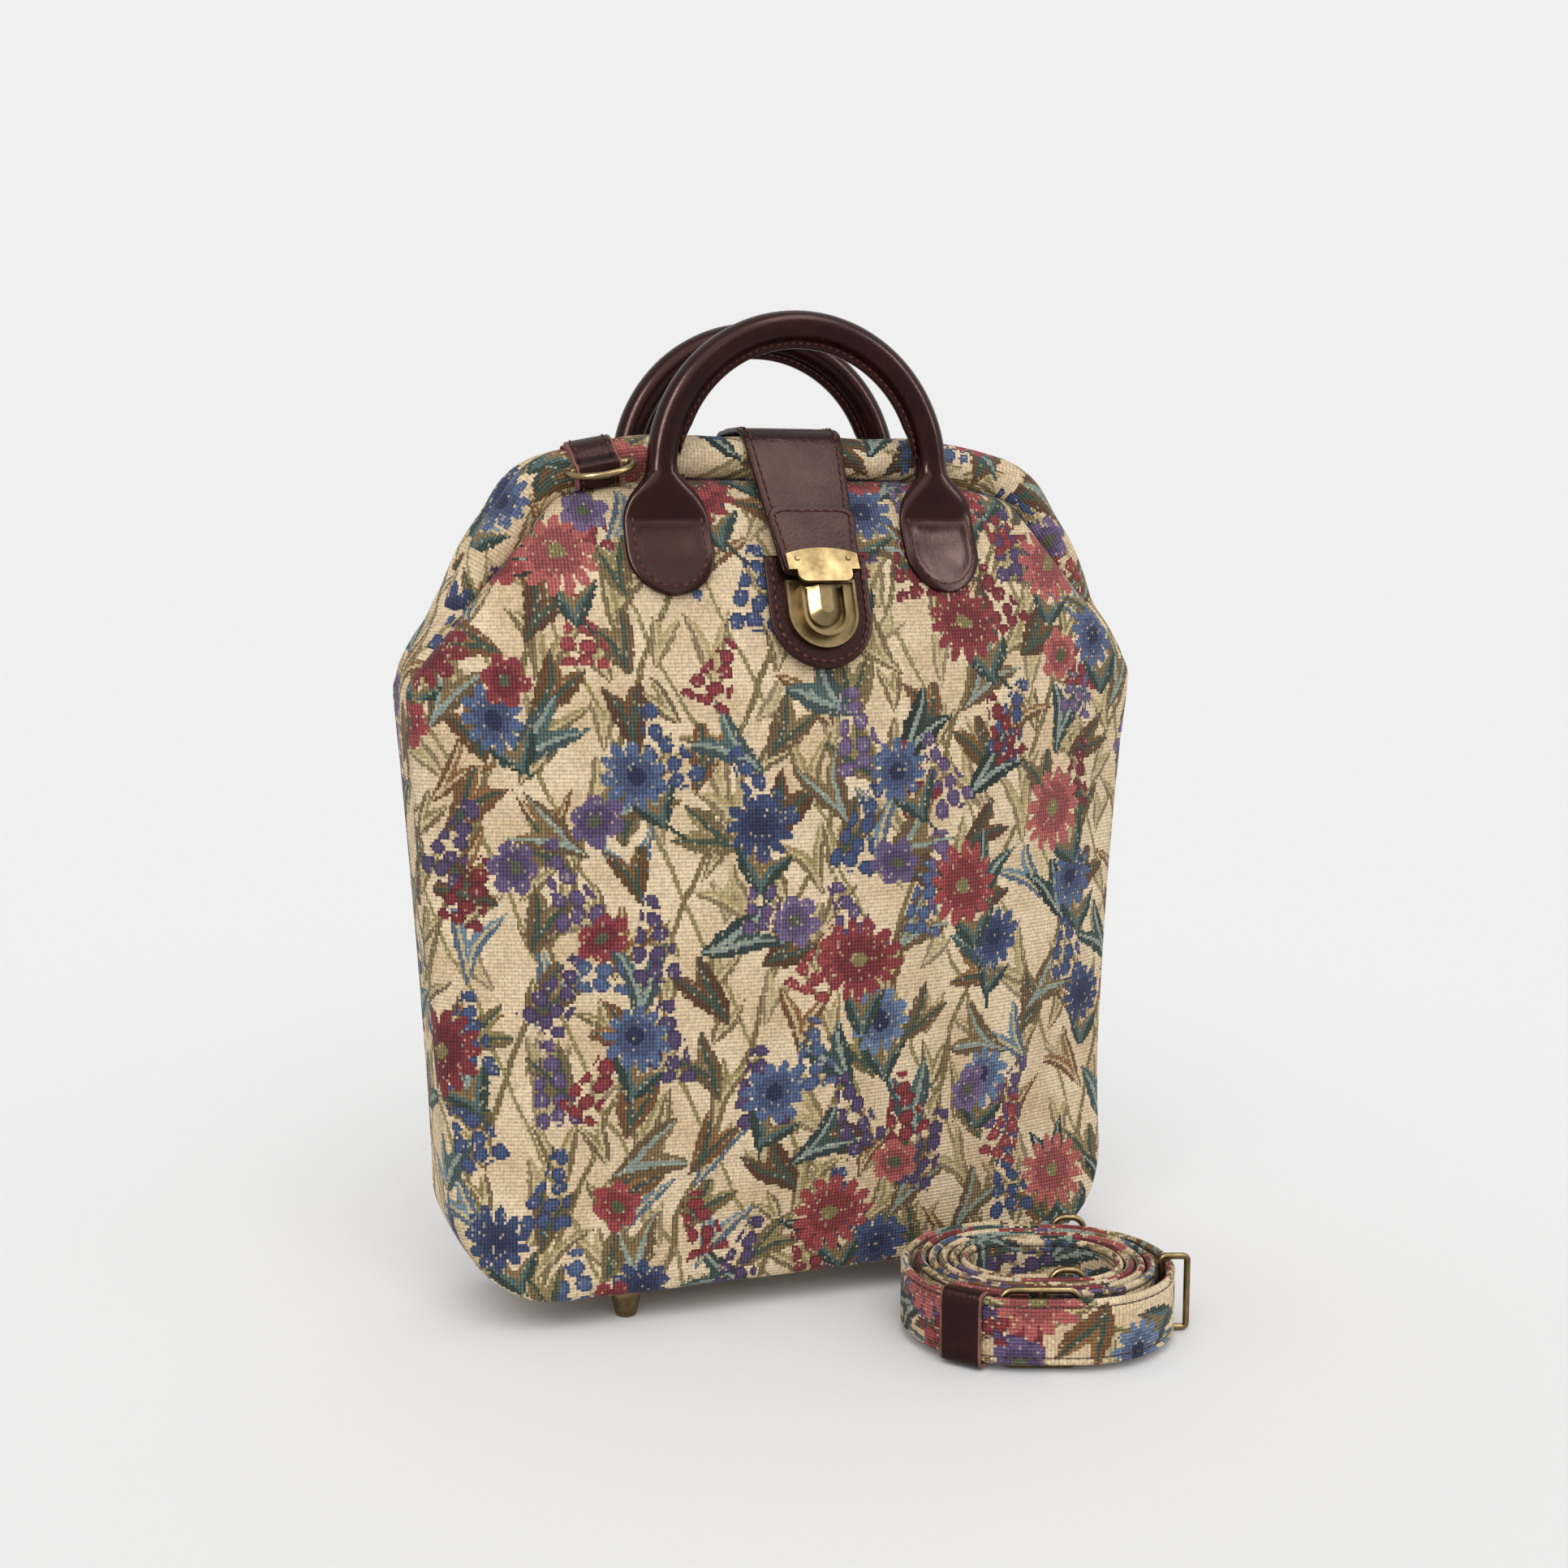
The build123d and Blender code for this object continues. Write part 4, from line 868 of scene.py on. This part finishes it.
left_leg = np.stack([np.full(len(leg_z), -HANDLE_X), -leg_y, leg_z], -1)
handle_line = np.concatenate([left_leg, arch, left_leg[::-1] * (-1, 1, 1)])
handle_wide, handle_thick, handle_square = (
    np.concatenate([leg, value * even, leg[::-1]])
    for leg, value in ((leg_wide, GRIP_R), (leg_thick, GRIP_R), (leg_square, ROUND))
)
round_side = np.stack([np.cos(bow), 0 * bow, -np.sin(bow)], -1)
leg_side = np.tile((1.0, 0, 0), (len(leg_z), 1))
handle_side = np.concatenate([leg_side, round_side, -leg_side])


def lean_on_panel(points):
    """Bends the flat ends of a handle round the pillow, and presses a crease and a sunk middle into them."""
    x, z = points[..., 0], points[..., 2]
    off = x - np.sign(x) * HANDLE_X
    outside = points[..., 1] < points[..., 1].mean(axis=1, keepdims=True)
    inside = np.hypot(off / TAB_R, np.minimum(z - TAB_Z, 0) / TAB_R)
    sunk = 0.5 * np.clip((0.74 - inside) / 0.12, 0, 1) * np.clip((368 - z) / 3, 0, 1)
    crease = 0.7 * np.exp(-(((z - 369.5) / 1.8) ** 2)) * np.clip(1 - (off / 18) ** 2, 0, 1)
    points[..., 1] += np.where(outside, sunk + crease, 0)
    flat = np.clip((386 - z) / 12, 0, 1)
    points[..., 1] += flat * (depth(x - off, z) - depth(x, z))
    return points


def tab_seam(sign_x):
    """Line of the U seam on a tab, 4 mm in from its edge, lying on the leather."""
    turn, leg, inset = np.linspace(0, pi, 30), np.linspace(13.5, 1, 9), TAB_R - 4
    x = np.concatenate([np.full(9, 1), np.cos(turn), np.full(9, -1)]) * inset
    z = np.concatenate([leg, -inset * np.sin(turn), leg[::-1]]) + TAB_Z
    x = x + sign_x * HANDLE_X
    flat = np.interp(z, (330, 360, 363, 371), (3.62, 3.62, 3.8, 4.9))
    return np.stack([x, -(depth(x, z) + 0.5 + flat), z], -1)


GRIP_BODY = {"front_handle": "front_frame", "back_handle": "back_frame"}
FLIP = ((-1, 0, 0, 0), (0, -1, 0, 0), (0, 0, 1, 0), (0, 0, 0, 1))
WELT_R = 58.2
inner_bow = np.linspace(0.14, pi - 0.14, 70)
welt_line = np.stack([-WELT_R * np.cos(inner_bow), np.full(70, -GRIP_Y), GRIP_Z + WELT_R * np.sin(inner_bow)], -1)
welt_side = np.stack([np.cos(inner_bow), 0 * inner_bow, -np.sin(inner_bow)], -1)
welt_taper = 2.4 * np.clip(np.minimum(inner_bow, pi - inner_bow) / 0.3 - 0.3, 0.15, 1)
handles, handle_seams = [], []
for name, sign in (("front_handle", 1), ("back_handle", -1)):
    sections = (handle_line, handle_side, handle_wide, handle_thick, handle_square)
    made = sweep(name + "_leather", *sections, ROLLED, around=48, bend=lean_on_panel)
    welt = sweep(name + "_welt", welt_line, welt_side, welt_taper, 1.7, 4.0, ROLLED, around=16)
    if sign < 0:
        made.data.transform(FLIP)
        welt.data.transform(FLIP)
    rows = [tab_seam(-1) * (sign, sign, 1), tab_seam(1) * (sign, sign, 1)]
    seam = sew(name + "_stitches", rows)
    welt_rows = [(welt_line + (0, side * 1.75, 0)) * (sign, sign, 1) for side in (-1, 1)]
    welt_seam = sew(name + "_welt_stitches", welt_rows, 3.6, 2.6, 0.4)
    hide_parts(name)
    for piece in (welt, welt_seam):
        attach(piece, GRIP_BODY[name])
    handles.append(made)
    handle_seams.append(seam)
print("handle line", len(handle_line), "sections")

# %% [markdown]
# Where the mouth opens, the cloth of the real bag stays with the bag below the tabs' middle and follows its half of
# the frame at the top. Bones or a lattice could bend it, or a plain blend between two bodies, as the bend is small.
# Here the panels, the handles and their seams only have their placing written into their meshes; they do not bend.

# %% Panels and handles fixed in their meshes
for piece, half_frame in ((panels["front_panel"], "front_frame"), (panels["back_panel"], "back_frame")):
    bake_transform(piece)
for made, seam, half_frame in zip(handles, handle_seams, ("front_frame", "back_frame")):
    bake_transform(made)
    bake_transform(seam)

# %% [markdown]
# The closing tab is sewn into the back seam, runs over both rims and comes down to the lock. It is a
# thick strap with rounded edges, with a second layer at its tip that carries the brass tongue.
# A flat strap could be bent over the rims with a modifier. Here its side line is worked out first, as a belt
# round the two rims, so that it lies on them without a gap.

# %% Closing tab and its overlay
TAB_HALF, TIP_HALF, TIP_ROUND, TAB_DEEP, TIP_Y, TIP_Z, BACK_Z = 25.0, 17.6, 3, 3.0, -57.0, 344.0, 390.0
hug = RIM_R + 0.7
tip_run = hypot(TIP_Y + RIM_Y, TIP_Z - RIM_TOP)
lean = atan2(RIM_TOP - TIP_Z, -RIM_Y - TIP_Y) + asin(hug / tip_run)
crest = RIM_TOP + hug
front_y = TIP_Y + (crest - TIP_Z) / sin(lean) * cos(lean)
inner_line = rounded([(RIM_Y + hug, BACK_Z), (RIM_Y + hug, crest), (front_y, crest), (TIP_Y, TIP_Z)], 11, 1.5)
tip_up, tip_out = np.array([0, cos(lean), sin(lean)]), np.array([0, -sin(lean), cos(lean)])
ahead = unit(np.gradient(inner_line, axis=0))
outer = np.stack([ahead[:, 1], -ahead[:, 0]], -1)
outer *= np.sign(outer[-1, 0] * tip_out[1] + outer[-1, 1] * tip_out[2])
tab_line = inner_line + outer * TAB_DEEP / 2
tab_line = np.stack([np.zeros(len(tab_line)), tab_line[:, 0], tab_line[:, 1]], -1)
tab_run = lengths(tab_line)
to_tip = tab_run[-1] - tab_run
tab_half = TIP_HALF + (TAB_HALF - TIP_HALF) * (tab_line[:, 2] - TIP_Z + 3) / (crest + 9 - TIP_Z)
tab_half = tab_half - TIP_ROUND * (1 - np.sqrt(1 - np.clip(1 - to_tip / TIP_ROUND, 0, 1) ** 2))
closing = sweep("closing_tab_leather", tab_line, (1, 0, 0), tab_half, TAB_DEEP / 2, BOXY, LEATHER, around=40)
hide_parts("closing_tab")
out3 = np.stack([np.zeros(len(outer)), outer[:, 0], outer[:, 1]], -1)
tab_face = tab_line + out3 * (TAB_DEEP / 2 + 0.1)
edge_rows = [tab_face + s * (tab_half - 3.2)[:, None] * np.array([1, 0, 0]) for s in (-1, 1)]
tab_seams = sew("closing_tab_stitches", [row[6:-3] for row in edge_rows])
for piece in (closing, tab_seams):
    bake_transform(piece)

OVER_TIP, OVER_TOP, OVER_LONG, OVER_ROUND, OVER_DEEP = 17.3, 21.6, 34.0, 6.5, 1.1
tip = np.array([0, TIP_Y, TIP_Z]) + tip_out * (TAB_DEEP + OVER_DEEP + 0.15)
start = OVER_LONG - OVER_ROUND
climb = np.concatenate([np.linspace(0.4, start, 18), start + OVER_ROUND * np.sin(np.linspace(0.12, 1.5, 10))])
over_line = tip + climb[:, None] * tip_up
over_half = OVER_TIP + (OVER_TOP - OVER_TIP) * climb / OVER_LONG
over_half = over_half - OVER_ROUND * (1 - np.sqrt(1 - np.clip((climb - start) / OVER_ROUND, 0, 1) ** 2))
overlay = sweep("tab_overlay_leather", over_line, (1, 0, 0), over_half, OVER_DEEP, BOXY, LEATHER, around=40)
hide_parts("tab_overlay")
face = tip + tip_out * (OVER_DEEP + 0.1)
INSET = 2.8
low, high = 12.5, OVER_LONG - INSET
corner = np.linspace(0, pi / 2, 7)
half_row = [(OVER_TIP + (OVER_TOP - OVER_TIP) * h / OVER_LONG - INSET, h) for h in np.linspace(low, high - 4, 10)]
half_row += [(OVER_TOP - INSET - 4.2 + 4 * cos(t), high - 4 + 4 * sin(t)) for t in corner]
full_row = [(-x, h) for x, h in half_row] + half_row[::-1]
over_rows = [[face + (x, 0, 0) + tip_up * h for x, h in full_row]]
over_seam = sew("tab_overlay_stitches", over_rows)
for piece in (overlay, over_seam):
    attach(piece, "tab")
print("closing tab", round(tab_run[-1]), "mm long, leaning", round(lean * 180 / pi), "degrees at its tip")

# %% [markdown]
# The lock sits on a U-shaped leather patch that is sewn to the front panel all round. It could be a flat plate,
# but the panel falls away at its sides, so the patch is swept upwards and its border laid back on the panel.

# %% Lock patch
PATCH_HALF, PATCH_LOW, PATCH_HIGH, LOCK_Z = 24.5, -26.0, 27.0, 328.0
lock_lean = radians(20)
lock_up = np.array([0, sin(lock_lean), cos(lock_lean)])
lock_out = np.array([0, -cos(lock_lean), sin(lock_lean)])
seat = np.array([0, -(float(depth(0, LOCK_Z)) + 0.3 + 2.8), LOCK_Z])
turn = np.linspace(0.06, pi / 2, 22)
patch_mid = PATCH_LOW + PATCH_HALF
climb = np.concatenate([patch_mid - PATCH_HALF * np.cos(turn), np.linspace(patch_mid + 1.5, PATCH_HIGH, 18)])
patch_half = np.concatenate([PATCH_HALF * np.sin(turn), np.full(18, PATCH_HALF)])
patch_line = seat + climb[:, None] * lock_up - lock_out * 1.5


def lay_on_panel(points):
    """Brings the patch's inner face back to the panel where that falls away."""
    ground = -(depth(points[..., 0], points[..., 2]) + 0.4)
    points[..., 1] = np.minimum(points[..., 1], ground)
    return points


sections = (patch_line, (1, 0, 0), patch_half, 1.5, 5.0)
patch = sweep("lock_patch_leather", *sections, LEATHER, around=48, bend=lay_on_panel)
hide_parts("lock_patch")
inset = PATCH_HALF - 3.0
side_row = [(-inset, h) for h in np.linspace(PATCH_HIGH - 2, patch_mid, 30)]
foot_row = [(-inset * cos(t), patch_mid - inset * sin(t)) for t in np.linspace(0, pi, 32)[1:-1]]
seam = side_row + foot_row + [(-x, h) for x, h in side_row[::-1]]
patch_rows = [[seat + (x, 0, 0) + lock_up * h + lock_out * 0.1 for x, h in seam]]
patch_seam = sew("lock_patch_stitches", patch_rows)
for piece in (patch, patch_seam):
    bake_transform(piece)
print("lock patch with", len(seam), "points on its seam")

# %% [markdown]
# The strap is a doubled tapestry band. It has been taken off and rolled up on edge beside the bag.
# A spiral with an even pitch could make the roll. The line of the solid is used instead, straight runs joined by
# half turns that grow outwards, because a folded strap is rolled up flat like that.

# %% Rolled strap
COIL_X, COIL_Y, COIL_TURN, STRAIGHT, BAND_MID = 88.0, -109.5, radians(-20), 11.0, 18.6
STRAP_SECTIONS, SEAM_AT, SEAM_DEEP = 560, 11.5, 1.0
RUNS = (22, 24.4, 26.8, 29.2, 31.6, 34, 36.4, 38.8, 41.2, 44.4, 52.2, 49.2)
flat = [(1.0, -RUNS[0]), (-STRAIGHT, -RUNS[0])]
for turn, (here, there) in enumerate(zip(RUNS, RUNS[1:])):
    s = -1 if turn % 2 == 0 else 1
    radius, middle = (here + there) / 2, s * (here - there) / 2
    for t in np.linspace(0, pi, 40)[1:]:
        flat.append((s * (STRAIGHT + radius * sin(t)), middle + s * radius * cos(t)))
    flat.append((-s * STRAIGHT, -s * there))
flat = np.array(flat)
coil_u = np.array([cos(COIL_TURN), sin(COIL_TURN)])
coil_v = np.array([-sin(COIL_TURN), cos(COIL_TURN)])
floor_line = np.array([COIL_X, COIL_Y]) + flat[:, :1] * coil_u + flat[:, 1:] * coil_v
run = lengths(floor_line)
even = np.linspace(0, run[-1], STRAP_SECTIONS)
strap_line = np.stack([*(np.interp(even, run, floor_line[:, k]) for k in (0, 1)), 0 * even + BAND_MID], -1)
BAND_ROWS = ((15.0, 0.0), (14.7, 0.7), (14.1, 1.45), (13.3, 1.8), (12.4, 1.7), (11.9, 1.25))
BAND_ROWS += ((SEAM_AT, SEAM_DEEP), (11.1, 1.3), (10.4, 1.6), (8.0, 1.7), (4.0, 1.65), (0.0, 1.65))
edge_half = np.array(BAND_ROWS)
one_face = np.concatenate([edge_half, edge_half[-2::-1] * (-1, 1)])
outline = np.concatenate([one_face, one_face[-2::-1] * (1, -1)])
band = sweep("strap_band_cloth", strap_line, (0, 0, 1), 1.0, 1.0, ROUND, TAPESTRY, section=outline)
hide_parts("strap_band")
ahead = unit(np.gradient(strap_line, axis=0))
face_out = np.stack([ahead[:, 1], -ahead[:, 0], 0 * even], -1)
rows = [strap_line + s * face_out * SEAM_DEEP + (0, 0, h) for s in (-1, 1) for h in (-SEAM_AT, SEAM_AT)]
# dark thread and a dark groove line: real stitches, and painted shade in the strap's seam grooves
band_seam_shade_rows = sew("strap_stitches", rows, 4.2, 3.4, 0.5, SEAM_THREAD_AND_SHADE)
for piece in (band, band_seam_shade_rows):
    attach(piece, "bag")
print("strap", round(run[-1]), "mm long")

# %% [markdown]
# A short leather keeper holds the loose end against the coil. It is a closed band of hide with its cut
# edges left in a paler, painted tone, and one row of stitches where its two ends lie over each other.
# It could be cut from a box; a sweep round a loop keeps its wall even and its corners soft.

# %% Strap keeper
KEEP_ANGLE, OUTER_R, OUTER_V = radians(238), 50.7, -1.5
KEEP_TALL, KEEP_DEEP, KEEP_HALF, KEEP_THICK = 16.0, 4.0, 10.0, 0.7
keep_out = coil_u * cos(KEEP_ANGLE) + coil_v * sin(KEEP_ANGLE)
keep_at = np.array([COIL_X, COIL_Y]) - coil_u * STRAIGHT + coil_v * OUTER_V + OUTER_R * keep_out
keep_along = np.array([*(coil_v * cos(KEEP_ANGLE) - coil_u * sin(KEEP_ANGLE)), 0])
turn = np.linspace(0, 2 * pi, 73)[:-1]
squash = (np.abs(np.cos(turn)) ** 5 + np.abs(np.sin(turn)) ** 5) ** -0.2
keep_high, keep_wide = KEEP_TALL * np.sin(turn) * squash, KEEP_DEEP * np.cos(turn) * squash
keep_line = np.array([*keep_at, BAND_MID]) + keep_wide[:, None] * np.array([*keep_out, 0])
keep_line[:, 2] += keep_high
sections = (keep_line, keep_along, KEEP_HALF, KEEP_THICK, BOXY)
keeper = sweep("strap_keeper_leather", *sections, LEATHER, loop=True, edge=RAW_EDGE)
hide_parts("strap_keeper")
keep_row = [[(*(keep_at - keep_out * 4.8), BAND_MID) + keep_along * k for k in np.linspace(-8, 8, 9)]]
keep_seam = sew("strap_keeper_stitches", keep_row, 3.6, 2.7, 0.45)
for piece in (keeper, keep_seam):
    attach(piece, "bag")
print("keeper", round(float(np.ptp(keep_high))), "mm high")

# %% [markdown]
# On each half of the mouth a strip of hide is wrapped round the padded roll. A second, shorter layer goes
# over the straight bar of the D-ring and is sewn down beside it, so that the ring can swing.
# One strip with a bump in it could stand for both, but then the two cut edges would be missing.
# The back pair stands diagonally opposite, so it is the front pair turned half round.

# %% Ring loops
LOOP_X, LOOP_HALF, LOOP_R, EYE_AT, EYE_R = 94.0, 11.0, 11.65, 14.05, 2.45
SECOND_R, SEAM_R, SEAM_SIDE = LOOP_R + 1.3, LOOP_R + 2.0, 7.6
(top_x, top_z), (turn_x, turn_z) = RIM_CORNERS[:2]
slope = unit([turn_x - top_x, 0, top_z - turn_z])
slope_down = np.array([slope[2], 0, -slope[0]])
loop_seat = np.array([-LOOP_X, -RIM_Y, top_z - (LOOP_X - top_x) * slope[2] / slope[0]])


def on_loop(flat_points):
    """Points given across the roll, forwards and downwards, in the bag's own place."""
    flat_points = np.asarray(flat_points)
    return loop_seat + flat_points[:, :1] * np.array([0, -1.0, 0]) + flat_points[:, 1:] * slope_down


def arc(radius, first, last, count, centre=0.0):
    """Points on an arc between two angles in degrees."""
    turn = np.linspace(radians(first), radians(last), count)
    return [(centre + radius * cos(t), radius * sin(t)) for t in turn]


wrap = arc(LOOP_R, -113, 43, 40)
second = arc(SECOND_R, -80, -24, 16) + arc(EYE_R, -100, 100, 18, EYE_AT) + arc(SECOND_R, 24, 42, 7)
seams = arc(SEAM_R, -76, -26, 14), arc(SEAM_R, 26, 40, 5)
LOOP_LEATHER = {"finish": LEATHER, "edge": RAW_EDGE}
for side, body, sign in (("front", "front_frame", 1), ("back", "back_frame", -1)):
    pieces = [sweep(side + "_ring_loop_wrap", on_loop(wrap), slope, LOOP_HALF, 0.65, BOXY, **LOOP_LEATHER)]
    pieces.append(sweep(side + "_ring_loop_eye", on_loop(second), slope, LOOP_HALF - 0.4, 0.6, BOXY, **LOOP_LEATHER))
    if sign < 0:
        for piece in pieces:
            piece.data.transform(FLIP)
    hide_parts(side + "_ring_loop")
    rows = [(on_loop(row) + slope * k) * (sign, sign, 1) for row in seams for k in (-SEAM_SIDE, SEAM_SIDE)]
    pieces.append(sew(side + "_ring_loop_stitches", rows, 3.8, 2.9, 0.45))
    for piece in pieces:
        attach(piece, body)
print("ring loops at", [round(float(v)) for v in loop_seat])
